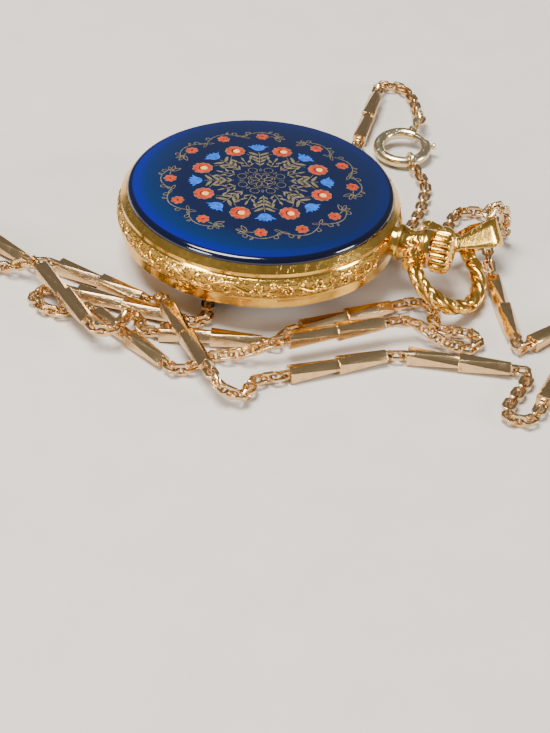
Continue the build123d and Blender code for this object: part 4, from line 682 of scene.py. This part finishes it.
SPRAY_STALK = [(2.75, 0), (3.6, 0.05), (4.6, -0.04), (5.7, 0)]
SPRAY_LEAVES = ((2.95, 40, 0.7), (3.55, 46, 0.95), (4.2, 50, 1.05), (4.95, 58, 1.2))
LOW_STALK = [(2.9, 0), (3.5, 0.05), (4.2, 0)]
LOW_LEAVES = ((3.05, 3.0, 60, 0.62), (3.65, 3.5, 42, 0.8), (4.3, 9.5, 20, 0.75))
VINE = [(2.85, 0.0), (3.4, 0.55), (4.0, 0.5), (4.3, 0.95), (4.9, 1.15), (5.35, 0.8)]


class WATCH_OT_flowers(WatchOperator, bpy.types.Operator):
    """Paints the wreath of flowers, tulips and leaves on the enamel"""

    bl_idname = "watch.flowers"
    bl_label = "Painted Flowers"

    def stroke(self, shape, place):
        """Adds one dark line or leaf to the painting"""
        self.lines.append((shape, place))

    def rosette(self):
        """Outlined petals in the middle of the disc"""
        line = self.sizes.line
        inner, outer = petal(1.0, 0.62, line * 0.8), petal(0.95, 0.98, line * 0.6)
        for k in range(8):
            turn = 45 * k
            self.lines += [
                (inner, at(0.22, turn)),
                (petal(0.45, 0.1), at(0.35, turn + 22.5)),
                (outer, at(1.6, turn)),
                (petal(0.5, 0.24, line * 0.5), at(1.75, turn + 22.5)),
            ]
            self.stroke(ribbon(arc(turn - 20, turn + 20, 1.22, 0.2), line * 0.8), at(0, 0))

    def sprays(self):
        """Leaf sprays that carry the tulips, with smaller ones under the flowers"""
        line = self.sizes.line
        leaf = petal(0.95, 0.36, point=0.45)
        slip = Matrix.Translation((0.08 * MM, 0, 0))
        for k in range(8):
            turn = 45 * k
            axis = turn + 22.5
            self.stroke(ribbon(SPRAY_STALK, line), at(0, axis))
            for side in (-1, 1):
                for reach, bend, size in SPRAY_LEAVES:
                    self.stroke(leaf, at(reach, axis, side * bend, size) @ slip)
                for reach, off, bend, size in LOW_LEAVES:
                    self.stroke(leaf, at(reach, turn + side * off, side * bend, size))
                self.stroke(ribbon([(x, side * y) for x, y in VINE], line * 0.8), at(0, turn))
                tendril = ribbon(curl(0.26, side), line * 0.8)
                self.stroke(tendril, at(4.35, turn + side * 14, side * 30))
            self.stroke(leaf, at(4.1, turn, 0, 0.8))
            self.stroke(ribbon(LOW_STALK, line), at(0, turn))

    def wreath(self):
        """Large flowers and tulips by turns"""
        for k in range(8):
            turn = 45 * k
            middle = at(self.sizes.flower_ring, turn)
            self.stroke(star(10, 1.06, 0.12), middle)
            self.petals.append((star(10, 0.96, 0.1), middle))
            slip = Matrix.Translation((-0.03 * MM, 0.14 * MM, 0)) @ middle
            self.darks.append((star(6, 0.44, 0.06), Matrix.Translation((0, -0.12 * MM, 0)) @ slip))
            self.hearts.append((star(8, 0.36, 0.03), slip))
            self.tulips.append((tulip_shape(), at(self.sizes.tulip_ring - 1.0, turn + 22.5)))

    def garlands(self):
        """Four garlands of three small flowers round the outside"""
        line, ring = self.sizes.line, self.sizes.small_ring
        open_leaf = petal(1.15, 0.56, line * 0.85, 0.35)
        for k in range(4):
            axis = 45 + 90 * k
            for number in (-1, 0, 1):
                turn = axis + 26 * number
                middle = at(ring, turn)
                self.lines += [
                    (star(7, 0.68, 0.14), middle),
                    (ribbon(arc(turn - 12.5, turn + 12.5, ring + 0.05, 0.9), line), at(0, 0)),
                    (petal(0.5, 0.26, line * 0.8), at(ring + 0.9, turn - 4, -40)),
                ]
                self.petals.append((star(7, 0.6, 0.12), middle))
                self.darks.append((star(5, 0.13, 0.03), middle))
                for side in (-1, 1):
                    tendril = ribbon(curl(0.33, -side), line * 0.9)
                    self.stroke(tendril, at(ring + 0.45, turn + side * 9, side * 70))
            for side in (-1, 1):
                knot = axis + 13 * side
                for bend in (35, -35, 150):
                    self.stroke(open_leaf, at(ring, knot, 90 * side + bend, 0.72))
                tip = axis + 34.5 * side
                for bend, size in ((52, 0.95), (8, 0.95), (-28, 0.8)):
                    self.stroke(open_leaf, at(ring + 0.05, tip, side * (90 + bend), size))
                self.stroke(ribbon(arc(axis + 30 * side, tip, ring + 0.1), line), at(0, 0))

    def execute(self, context):
        self.lines, self.petals, self.darks, self.hearts, self.tulips = [], [], [], [], []
        self.rosette()
        self.sprays()
        self.wreath()
        self.garlands()
        for name, parts, lift, colour in (
            ("painted_leaves", self.lines, 0.010, "leaf"),
            ("painted_petals", self.petals, 0.016, "flower"),
            ("painted_tulips", self.tulips, 0.016, "tulip"),
            ("painted_stamens", self.darks, 0.021, "dark"),
            ("painted_hearts", self.hearts, 0.026, "heart"),
        ):
            piece = laid_on_dome(gathered(name, parts), lift)
            finished(piece, "watch", self.paints[colour])
        return {"FINISHED"}


def scroll_points(turns, start, size, side):
    """A curl that winds inward, as (along, up) points."""
    points = []
    for step in range(int(26 * turns)):
        share = step / (26 * turns - 1)
        angle = math.radians(360 * turns * share) * side
        radius = size * (1 - 0.82 * share)
        points.append((start[0] - radius * math.cos(angle), start[1] + radius * math.sin(angle)))
    return points


def raised_mesh(name, places, rows):
    """Quads over points listed row by row, in millimetres."""
    faces = []
    for a in range(len(places) - rows):
        if a % rows < rows - 1:
            faces.append((a, a + rows, a + rows + 1, a + 1))
    mesh = bpy.data.meshes.new(name)
    mesh.from_pydata(places, [], faces)
    return mesh


def rounded_line(points, thick, tall):
    """A raised line with a rounded back, tapering at both ends, as a mesh in millimetres."""
    places = []
    rows = 5
    for k, (x, y) in enumerate(points):
        x0, y0 = points[max(k - 1, 0)]
        x1, y1 = points[min(k + 1, len(points) - 1)]
        across = Vector((y0 - y1, x1 - x0, 0)).normalized()
        share = k / (len(points) - 1)
        swell = 0.35 + 0.65 * math.sin(math.pi * min(share * 0.9 + 0.08, 1)) ** 0.6
        for row in range(rows):
            turn = math.pi * row / (rows - 1)
            side = across * (thick / 2 * swell * math.cos(turn))
            places.append((x + side.x, y + side.y, tall * swell * math.sin(turn)))
    return raised_mesh("raised line", places, rows)


def raised_leaf(length, width, tall):
    """A raised leaf with a middle vein, along +X, as a mesh in millimetres."""
    places = []
    rows, steps = 7, 9
    for k in range(steps):
        share = k / (steps - 1)
        half = width / 2 * math.sin(math.pi * share ** 0.75) ** 0.8 + 0.01
        for row in range(rows):
            side = 2 * row / (rows - 1) - 1
            vein = 1 - 0.45 * max(0, 1 - abs(side) * 3.5)
            height = tall * (1 - side * side) ** 0.5 * vein * math.sin(math.pi * min(share + 0.12, 1)) ** 0.4
            places.append((length * share, side * half, height))
    return raised_mesh("raised leaf", places, rows)


def flat(x, y, turn=0.0, size=1.0):
    return (
        Matrix.Translation((x, y, 0))
        @ Matrix.Rotation(math.radians(turn), 4, "Z")
        @ Matrix.Scale(size, 4)
    )


def band_radius(level):
    """Radius of the convex band at this level, in millimetres."""
    share = min(abs(level - STEM_LEVEL) / 1.0, 1)
    return BAND_RADIUS - (BAND_RADIUS - BAND_STEP) * share * share


NECK_TURN = 90.0
ENGRAVED_REACH, SUNK = 0.93, 0.012


def relief_of(item, heights):
    """Keeps the height of each point in the relief for the finish to read; the finish paints shade on the
    low points.
    """
    store = item.data.attributes.new("relief", "FLOAT", "POINT")
    store.data.foreach_set("value", heights)


class WATCH_OT_engraving(WatchOperator, bpy.types.Operator):
    """Raises the scrolls, leaves and blossoms on the band of the case"""

    bl_idname = "watch.engraving"
    bl_label = "Case Engraving"

    def execute(self, context):
        tall = self.sizes.carving
        count = self.sizes.scrolls
        pitch = 2 * math.pi * BAND_RADIUS / count
        wave = [(pitch * k / 24, 0.5 * math.sin(2 * math.pi * k / 24)) for k in range(25)]
        parts = [(rounded_line(wave, 0.3, tall), flat(0, 0))]
        leaf = raised_leaf(1.25, 0.6, tall)
        bud = raised_leaf(0.52, 0.4, tall * 1.1)
        for side, start in ((1, 0.27), (-1, 0.77)):
            x = pitch * start
            spiral = scroll_points(1.4, (0, 0), 0.62, side)
            parts.append((rounded_line(spiral, 0.26, tall), flat(x, -side * 0.24)))
            for turn, size in ((14, 1.0), (48, 0.85), (128, 0.8), (160, 0.9)):
                parts.append((leaf, flat(x, side * 0.18, side * turn, size)))
            for number in range(5):
                parts.append((bud, flat(x + 0.26 * pitch, -side * 0.46, 72 * number + 18, 0.9)))
            for along, turn, size in ((0.16, -30, 0.75), (0.3, 150, 0.7), (-0.2, -150, 0.7)):
                parts.append((leaf, flat(x + along * pitch, side * 0.62, side * turn, size)))
        motif = gathered("motif", parts)
        everything, heights = bmesh.new(), []
        for number in range(count):
            turn = 360 / count * (number + 0.5)
            if abs((turn - NECK_TURN + 180) % 360 - 180) < 180 / count:
                continue
            copy = motif.data.copy()
            for vertex in copy.vertices:
                along, up, out = vertex.co
                up = max(-ENGRAVED_REACH, min(ENGRAVED_REACH, up))
                angle = math.radians(turn) + (along - pitch / 2) / BAND_RADIUS
                radius = band_radius(STEM_LEVEL + up) + out - SUNK
                vertex.co = Vector((*polar(radius, angle), STEM_LEVEL + up)) * MM
                heights.append(out / tall)
            everything.from_mesh(copy)
            bpy.data.meshes.remove(copy)
        mesh = bpy.data.meshes.new("band_engraving")
        everything.to_mesh(mesh)
        everything.free()
        bpy.data.objects.remove(motif)
        band = as_object("band_engraving", mesh)
        relief_of(band, heights)
        for face in mesh.polygons:
            if face.normal.dot(Vector((face.center.x, face.center.y, 0))) < 0:
                face.flip()
        smooth(band, 60)
        finished(band, "watch", self.paints["carved"])
        return {"FINISHED"}


def bow_frame(share):
    """Place of the bow's middle line in its own plane, and its way, from near eye to far eye."""
    start = -math.atan2(BOW_CENTRE / (BOW_LENGTH - BOW_CENTRE), 2.86 / BOW_HALF_WIDTH)
    turn = start + (math.pi - 2 * start) * share
    rise = BOW_LENGTH - BOW_CENTRE
    place = Vector((BOW_HALF_WIDTH * math.cos(turn), BOW_CENTRE + rise * math.sin(turn), 0))
    way = Vector((-BOW_HALF_WIDTH * math.sin(turn), rise * math.cos(turn), 0)).normalized()
    return place, way


def carved_radius(share, angle):
    """Radius of the bow and the height of its carving there: leaves, twisted wire, then beads."""
    if share < 0.42:
        lobe = abs(math.sin(1.5 * angle + share * 20))
        scale = abs(math.sin(math.pi * (share * 14 + 0.6 * lobe)))
        height = lobe ** 0.7 * (0.2 + 0.8 * scale ** 0.6)
        radius = 0.52 + 0.06 * math.sin(math.pi * share / 0.42) + 0.30 * height
    elif share < 0.70:
        strand = abs(math.cos(1.5 * (angle - share * 30)))
        height = strand ** 0.8
        radius = 0.52 + 0.33 * height
    else:
        bead = abs(math.sin(math.pi * (share - 0.70) / 0.072))
        height = bead ** 0.5
        radius = 0.53 + 0.30 * height * (1 - 0.3 * abs(share - 0.82) / 0.14)
    ease = min(share / 0.05, (1 - share) / 0.05, 1)
    return radius * (0.82 + 0.18 * ease), height


def loft(name, rings, ends=True):
    """A skin over rings of the same number of points each, in millimetres."""
    count = len(rings[0])
    places = [Vector(point) * MM for ring in rings for point in ring]
    faces = []
    for station in range(len(rings) if ends is None else len(rings) - 1):
        low, high = station * count, (station + 1) % len(rings) * count
        for k in range(count):
            m = (k + 1) % count
            faces.append((low + k, low + m, high + m, high + k))
    if ends:
        faces.append(tuple(range(count - 1, -1, -1)))
        faces.append(tuple(range(len(places) - count, len(places))))
    mesh = bpy.data.meshes.new(name)
    mesh.from_pydata(places, [], faces)
    item = as_object(name, mesh)
    with editing():
        bpy.ops.mesh.normals_make_consistent(inside=False)
    return item


def in_bow_plane(point):
    """From the bow's own plane to the watch, in millimetres."""
    outward = Vector((0, math.cos(BOW_DROOP), -math.sin(BOW_DROOP)))
    upward = Vector((0, math.sin(BOW_DROOP), math.cos(BOW_DROOP)))
    base = Vector((0, PIVOT_REACH, STEM_LEVEL))
    return base + Vector((1, 0, 0)) * point.x + outward * point.y + upward * point.z


class WATCH_OT_bow(WatchOperator, bpy.types.Operator):
    """Carves the bow: leaves on one arm, a twist at its end, beads on the other arm"""

    bl_idname = "watch.bow"
    bl_label = "Carved Bow"

    def execute(self, context):
        stations, sides = 260, 48
        rings, heights = [], []
        for station in range(stations + 1):
            share = station / stations
            place, way = bow_frame(share)
            across = Vector((way.y, -way.x, 0))
            ring = []
            for number in range(sides):
                angle = 2 * math.pi * number / sides
                radius, height = carved_radius(share, angle)
                out = across * math.cos(angle) + Vector((0, 0, math.sin(angle)))
                ring.append(in_bow_plane(place + out * radius))
                heights.append(height)
            rings.append(ring)
        bow = loft("carved_bow", rings)
        relief_of(bow, heights)
        smooth(bow, 50)
        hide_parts("bow")
        finished(bow, "bow", self.paints["carved"])
        middle = (BOW_EYE_START + BOW_EYE_END) / 2
        half = (BOW_EYE_END - BOW_EYE_START) / 2
        profile = [
            (PIVOT_HOLE, -half), (BOW_EYE_RADIUS - 0.15, -half), (BOW_EYE_RADIUS, -half + 0.15),
            (BOW_EYE_RADIUS - 0.12, -0.1), (BOW_EYE_RADIUS - 0.12, 0.1),
            (BOW_EYE_RADIUS, half - 0.15), (BOW_EYE_RADIUS - 0.15, half), (PIVOT_HOLE, half),
        ]
        for side, name in ((1, "near_bow_eye"), (-1, "far_bow_eye")):
            eye = turned(name, profile, 48, closed=True)
            place = Matrix.Translation((side * middle * MM, PIVOT_REACH * MM, STEM_LEVEL * MM))
            eye.data.transform(place @ Matrix.Rotation(math.radians(90), 4, "Y"))
            smooth(eye)
            finished(eye, "bow", self.paints["gold"])
        return {"FINISHED"}


def bail_edge(steps=96):
    """The bail's middle line round its two ends, as (along, across) points, at even steps."""
    narrow = BAIL_NARROW / 2 - BAIL_WALL / 2
    wide = BAIL_WIDTH / 2 - BAIL_WALL / 2
    near = BAIL_NARROW / 2 - BAIL_SETBACK
    far = BAIL_LENGTH - BAIL_WIDTH / 2 - BAIL_SETBACK
    lean = math.acos((narrow - wide) / (far - near))
    points = []
    for k in range(31):
        turn = -lean + 2 * lean * k / 30
        points.append((far + wide * math.cos(turn), wide * math.sin(turn)))
    for k in range(31):
        turn = lean + 2 * (math.pi - lean) * k / 30
        points.append((near + narrow * math.cos(turn), narrow * math.sin(turn)))
    even, ring = [], points + points[:1]
    lengths = [math.dist(a, b) for a, b in zip(ring, ring[1:])]
    for k in range(steps):
        left, j = sum(lengths) * k / steps, 0
        while left > lengths[j]:
            left -= lengths[j]
            j += 1
        a, b = Vector(ring[j]), Vector(ring[j + 1])
        even.append(a.lerp(b, left / lengths[j]))
    return even, near, far


class WATCH_OT_bail(WatchOperator, bpy.types.Operator):
    """Bends the tapering strip of the bail round"""

    bl_idname = "watch.bail"
    bl_label = "Bail"

    def execute(self, context):
        arm = Vector((BOW_HALF_WIDTH * math.cos(BAIL_STATION),
                      BOW_CENTRE + (BOW_LENGTH - BOW_CENTRE) * math.sin(BAIL_STATION), 0))
        along = Vector((math.cos(BAIL_TURN), math.sin(BAIL_TURN), 0))
        side = BAIL_TURN + math.radians(90)
        normal = Vector((math.cos(side), math.sin(side), 0)) * math.sin(BAIL_LEAN)
        normal.z = math.cos(BAIL_LEAN)
        across = normal.cross(along)
        points, near, far = bail_edge()
        rings = []
        for k, (x, y) in enumerate(points):
            before, after = points[k - 1], points[(k + 1) % len(points)]
            way = (after - before).normalized()
            out = along * way.y - across * way.x
            share = min(max((x - near) / (far - near), 0), 1)
            half = (BAIL_BAND_NARROW + (BAIL_BAND - BAIL_BAND_NARROW) * share) / 2
            skin, turn_in = BAIL_WALL / 2, 0.07
            middle = in_bow_plane(arm) + along * x + across * y
            section = []
            for up, far_out in (
                (-half, -skin + turn_in), (-half, skin - turn_in), (-half + turn_in, skin - 0.02),
                (-half * 0.5, skin), (half * 0.5, skin), (half - turn_in, skin - 0.02),
                (half, skin - turn_in), (half, -skin + turn_in), (half - turn_in, -skin),
                (-half + turn_in, -skin),
            ):
                section.append(middle + out * far_out + normal * up)
            rings.append(section)
        bail = smooth(loft("bent_bail", rings, ends=None), 40)
        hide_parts("bail")
        finished(bail, "bail", self.paints["gold"])
        return {"FINISHED"}


def ring_round_stem(reach, radius, sides, wave=None):
    """A ring round the crown's axis, with its radius changed by wave(angle), in millimetres."""
    ring = []
    for k in range(sides):
        angle = 2 * math.pi * k / sides
        out = radius + (wave(angle) if wave else 0)
        ring.append((out * math.cos(angle), reach, STEM_LEVEL + out * math.sin(angle)))
    return ring


FLUTE_DEPTH, CROWN_SIDES = 0.26, 240
CROWN_PROFILE = (
    (0.0, 1.3, 0), (0.0, 1.85, 0), (0.08, 2.0, 0.5), (0.2, CROWN_RADIUS, 1),
    (1.45, CROWN_RADIUS, 1), (1.62, 2.1, 1), (1.76, 1.98, 0.8), (1.88, 1.8, 0.45),
    (1.98, 1.55, 0.15), (2.05, 1.2, 0), (2.09, 0.7, 0), (2.1, 0.12, 0),
)
NECK_TOP = ((17.38, 1.95), (17.8, 1.95), (17.9, 1.88), (17.9, 0.76), (17.0, 0.76))


class WATCH_OT_crown(WatchOperator, bpy.types.Operator):
    """Flutes the domed crown and carves the neck that it stands on"""

    bl_idname = "watch.crown"
    bl_label = "Crown and Neck"

    def execute(self, context):
        rings, heights = [], []
        for along, radius, share in CROWN_PROFILE:
            def flute(angle):
                return -FLUTE_DEPTH * share * (1 - abs(math.cos(CROWN_FLUTES / 2 * angle)))
            rings.append(ring_round_stem(CROWN_START + along, radius, CROWN_SIDES, flute))
            for k in range(CROWN_SIDES):
                heights.append(1 + flute(2 * math.pi * k / CROWN_SIDES) / FLUTE_DEPTH)
        crown = loft("fluted_crown", rings)
        relief_of(crown, heights)
        smooth(crown, 40)
        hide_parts("crown")
        finished(crown, "crown", self.paints["carved"])

        rings, heights = [], []
        steps, sides, rise = 70, 144, 0.1
        start, stop = BAND_WAIST[3][0], BAND_WAIST[4][0]
        for reach, radius in BAND_WAIST[:3]:
            rings.append(ring_round_stem(reach, radius, sides))
            heights += [0.8] * sides
        for k in range(steps + 1):
            share = k / steps
            waist = 1.88 - 0.42 * math.sin(math.pi * min(share / 0.86, 1)) ** 1.2
            waist += 0.02 * share
            ring = []
            for number in range(sides):
                angle = 2 * math.pi * number / sides
                leaf = abs(math.cos(3 * angle + 0.5 * math.sin(5 * share)))
                vein = abs(math.sin(math.pi * (share * 6 + leaf * 1.2)))
                height = leaf ** 0.5 * (0.35 + 0.65 * vein ** 0.6) * math.sin(math.pi * share) ** 0.5
                out = waist - rise * 0.6 + rise * height
                reach = start + (stop - start) * share
                ring.append((out * math.cos(angle), reach, STEM_LEVEL + out * math.sin(angle)))
                heights.append(max(height, 0.35 if share < 0.03 or share > 0.97 else 0))
            rings.append(ring)
        for reach, radius in NECK_TOP:
            rings.append(ring_round_stem(reach, radius, sides))
            heights += [0.8] * sides
        neck = loft("carved_neck", rings)
        relief_of(neck, heights)
        smooth(neck, 45)
        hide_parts("pendant_neck")
        finished(neck, "watch", self.paints["carved"])
        return {"FINISHED"}


def clasp_place():
    """Puts a ring made round Z at the origin where the clasp lies."""
    return Matrix.Translation(CLASP_MIDDLE * MM) @ Matrix.Rotation(CLASP_TILT, 4, "Y")


EYE_PROFILE = [(0.26, -0.2), (0.5, -0.2), (0.56, -0.1), (0.56, 0.1), (0.5, 0.2), (0.26, 0.2)]
KNOB_PROFILE = [
    (0, 0.2), (0.22, 0.2), (0.22, 0.7), (0.34, 0.8), (0.36, 0.98), (0.27, 1.12), (0, 1.15),
]


class WATCH_OT_clasp(WatchOperator, bpy.types.Operator):
    """Rounds the spring ring and its sprung lever"""

    bl_idname = "watch.clasp"
    bl_label = "Spring Ring Clasp"

    def ring(self, name, radius, start, stop, node, body):
        circle = []
        for k in range(20):
            turn = 2 * math.pi * k / 20
            circle.append((RING_MIDDLE + radius * math.cos(turn), radius * math.sin(turn)))
        piece = turned(name, circle, 72, stop - start, closed=True)
        piece.data.transform(clasp_place() @ Matrix.Rotation(math.radians(stop), 4, "Z"))
        smooth(piece)
        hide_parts(node)
        finished(piece, body, self.paints["clasp"])

    def execute(self, context):
        self.ring("ring_tube", RING_TUBE, OPENING[1], OPENING[0] + 360, "spring_ring_body", "watch")
        self.ring("ring_gate", GATE_TUBE, *GATE, "spring_ring_lever", "clasp_lever")
        eye = turned("ring_eye", EYE_PROFILE, 32, closed=True)
        place = clasp_place() @ Matrix.Rotation(EYE_ANGLE, 4, "Z")
        eye.data.transform(place @ Matrix.Translation((EYE_REACH * MM, 0, 0)))
        smooth(eye)
        finished(eye, "watch", self.paints["clasp"])
        knob = turned("lever_knob", KNOB_PROFILE, 28)
        turn = math.radians(OPENING[0] - 10)
        stand = Matrix.Translation((RING_MIDDLE * MM, 0, 0)) @ Matrix.Rotation(math.radians(90), 4, "Y")
        knob.data.transform(clasp_place() @ Matrix.Rotation(turn, 4, "Z") @ stand)
        smooth(knob)
        finished(knob, "clasp_lever", self.paints["clasp"])
        return {"FINISHED"}


PRINT_LIFT = 0.012
MINUTE_DOT = (0.42, 0.14)


class WATCH_OT_dial(WatchOperator, bpy.types.Operator):
    """Prints the minute ring and the numbers on the dial"""

    bl_idname = "watch.dial"
    bl_label = "Dial Print"

    def execute(self, context):
        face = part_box("dial")[0].z / MM - PRINT_LIFT
        dot = petal(*MINUTE_DOT, sides=8)
        parts = [
            (dot, Matrix.Translation((0, 0, face * MM)) @ at(MINUTE_RING, 6 * k))
            for k in range(60) if k % 5
        ]
        ring = gathered("minute_ring", parts)
        finished(ring, "watch", self.paints["print"])
        for hour in range(1, 13):
            bpy.ops.object.select_all(action="DESELECT")
            bpy.ops.object.text_add()
            number = bpy.context.object
            number.data.body = str(hour)
            number.data.size = NUMBER_SIZE * MM
            number.data.align_x = number.data.align_y = "CENTER"
            bpy.ops.object.convert(target="MESH")
            number = bpy.context.object
            number.name = f"hour_number_{hour}"
            turn = math.radians(90 + 30 * hour)
            x, y = polar(NUMBER_RING, turn)
            place = Matrix.Translation((x * MM, y * MM, face * MM))
            number.data.transform(place @ Matrix.Rotation(math.pi, 4, "Y"))
            finished(number, "watch", self.paints["print"])
        return {"FINISHED"}


SLOT_PAINTS = {
    "yellow_gold": "gold", "chain_gold": "chain", "clasp_gold": "clasp", "blue_enamel": "enamel",
    "movement_brass": "gilt", "movement_steel": "steel", "spring_steel": "spring",
    "crystal": "crystal", "dial_enamel": "dial", "hand_steel": "blued",
}


class WATCH_OT_metals(WatchOperator, bpy.types.Operator):
    """Finishes the turned, cut and stamped metal of the watch and its chain"""

    bl_idname = "watch.metals"
    bl_label = "Metal Finishes"

    def execute(self, context):
        slots = {part["node"]: part["material_slot"] for part in frame["record"]["subparts"]}
        for name, item in frame["nodes"].items():
            paint = self.paints[SLOT_PAINTS[slots[name]]]
            # The case band takes the punched gold, with its painted shade.
            if name == "case_middle":
                paint = self.paints["punched"]
            item.data.materials.clear()
            item.data.materials.append(paint)
            if item.data.has_custom_normals:
                alone(item)
                bpy.ops.mesh.customdata_custom_splitnormals_clear()
            item.data.polygons.foreach_set("use_smooth", [True] * len(item.data.polygons))
            weld = item.modifiers.new("Join the facets", "WELD")
            weld.merge_threshold = 0.0005 * MM
            if name.startswith("chain_"):
                edge = item.modifiers.new("Filed edges", "BEVEL")
                edge.width = 0.035 * MM
                edge.segments = 2
                edge.limit_method = "ANGLE"
                edge.angle_limit = math.radians(25)
            split = item.modifiers.new("Crisp edges", "EDGE_SPLIT")
            split.split_angle = math.radians(32)
        return {"FINISHED"}


LIGHTS = (
    ("Window", (0.06, -0.10, 0.45), 0.26, 5.2, (1, 0.98, 0.95)),
    ("Fill", (0.40, -0.22, 0.16), 0.16, 1.8, (1, 0.96, 0.9)),
    ("Side", (-0.02, 0.45, 0.16), 0.14, 1.5, (1, 1, 1)),
)
CAMERA_PLACE = (0.13867, 0.04432, 0.09591)
CAMERA_RIGHT, CAMERA_FORWARD = (-0.3273, 0.9433, 0.0554), (-0.7596, -0.2278, -0.6092)
FOCAL_PIXELS, PICTURE_HEIGHT, SENSOR = 1700, 733, 36


def soft_light(name, place, size, power, colour):
    """A round lamp that looks at the origin, in metres and watts."""
    light = bpy.data.lights.new(name, "AREA")
    light.shape, light.size, light.energy, light.color = "DISK", size, power, colour
    item = bpy.data.objects.new(name, light)
    bpy.context.scene.collection.objects.link(item)
    item.location = place
    item.rotation_euler = (-Vector(place)).to_track_quat("-Z", "Y").to_euler()


class WATCH_OT_stage(WatchOperator, bpy.types.Operator):
    """Sets the pale floor, the soft light and the camera at the photograph's view"""

    bl_idname = "watch.stage"
    bl_label = "Stage"

    def execute(self, context):
        bpy.ops.object.select_all(action="DESELECT")
        bpy.ops.mesh.primitive_plane_add(size=4, location=(0, 0, (FLOOR - 0.01) * MM))
        floor = bpy.context.object
        floor.name = "floor"
        floor.data.materials.append(stage_finish("Pale floor"))
        world = bpy.data.worlds.new("Soft room")
        context.scene.world = world
        world.use_nodes = True
        background = world.node_tree.nodes["Background"]
        background.inputs["Color"].default_value = (0.92, 0.93, 0.95, 1)
        background.inputs["Strength"].default_value = 0.22
        for light in LIGHTS:
            soft_light(*light)
        camera = bpy.data.objects.new("Camera", bpy.data.cameras.new("Camera"))
        context.scene.collection.objects.link(camera)
        right = Vector(CAMERA_RIGHT).normalized()
        forward = Vector(CAMERA_FORWARD).normalized()
        up = right.cross(forward).normalized()
        turn = Matrix((right, up, -forward)).transposed().to_4x4()
        camera.matrix_world = Matrix.Translation(CAMERA_PLACE) @ turn
        camera.data.sensor_fit = "VERTICAL"
        camera.data.sensor_height = SENSOR
        camera.data.lens = FOCAL_PIXELS / PICTURE_HEIGHT * SENSOR
        camera.data.clip_start = 0.005
        context.scene.camera = camera
        return {"FINISHED"}


class WATCH_PT_panel(bpy.types.Panel):
    """Lists the watch's sizes, colours and making steps"""

    bl_label = "Pendant Watch"
    bl_space_type = "VIEW_3D"
    bl_region_type = "UI"
    bl_category = "Watch"

    def draw(self, context):
        for group in (context.scene.watch_sizes, context.scene.watch_colours):
            for name in group.__annotations__:
                self.layout.prop(group, name)
        for step in STEPS:
            self.layout.operator(step.bl_idname)


STEPS = (
    WATCH_OT_stage, WATCH_OT_metals, WATCH_OT_enamel, WATCH_OT_flowers, WATCH_OT_engraving,
    WATCH_OT_bow, WATCH_OT_bail, WATCH_OT_crown, WATCH_OT_clasp, WATCH_OT_dial,
)
CLASSES = (WatchColours, WatchSizes, *STEPS, WATCH_PT_panel)


def register():
    for kind in CLASSES:
        bpy.utils.register_class(kind)
    bpy.types.Scene.watch_colours = bpy.props.PointerProperty(type=WatchColours)
    bpy.types.Scene.watch_sizes = bpy.props.PointerProperty(type=WatchSizes)


def unregister():
    del bpy.types.Scene.watch_colours
    del bpy.types.Scene.watch_sizes
    for kind in reversed(CLASSES):
        bpy.utils.unregister_class(kind)


def main():
    register()
    for step in STEPS:
        group, name = step.bl_idname.split(".")
        getattr(getattr(bpy.ops, group), name)()


if __name__ == "__main__":
    main()
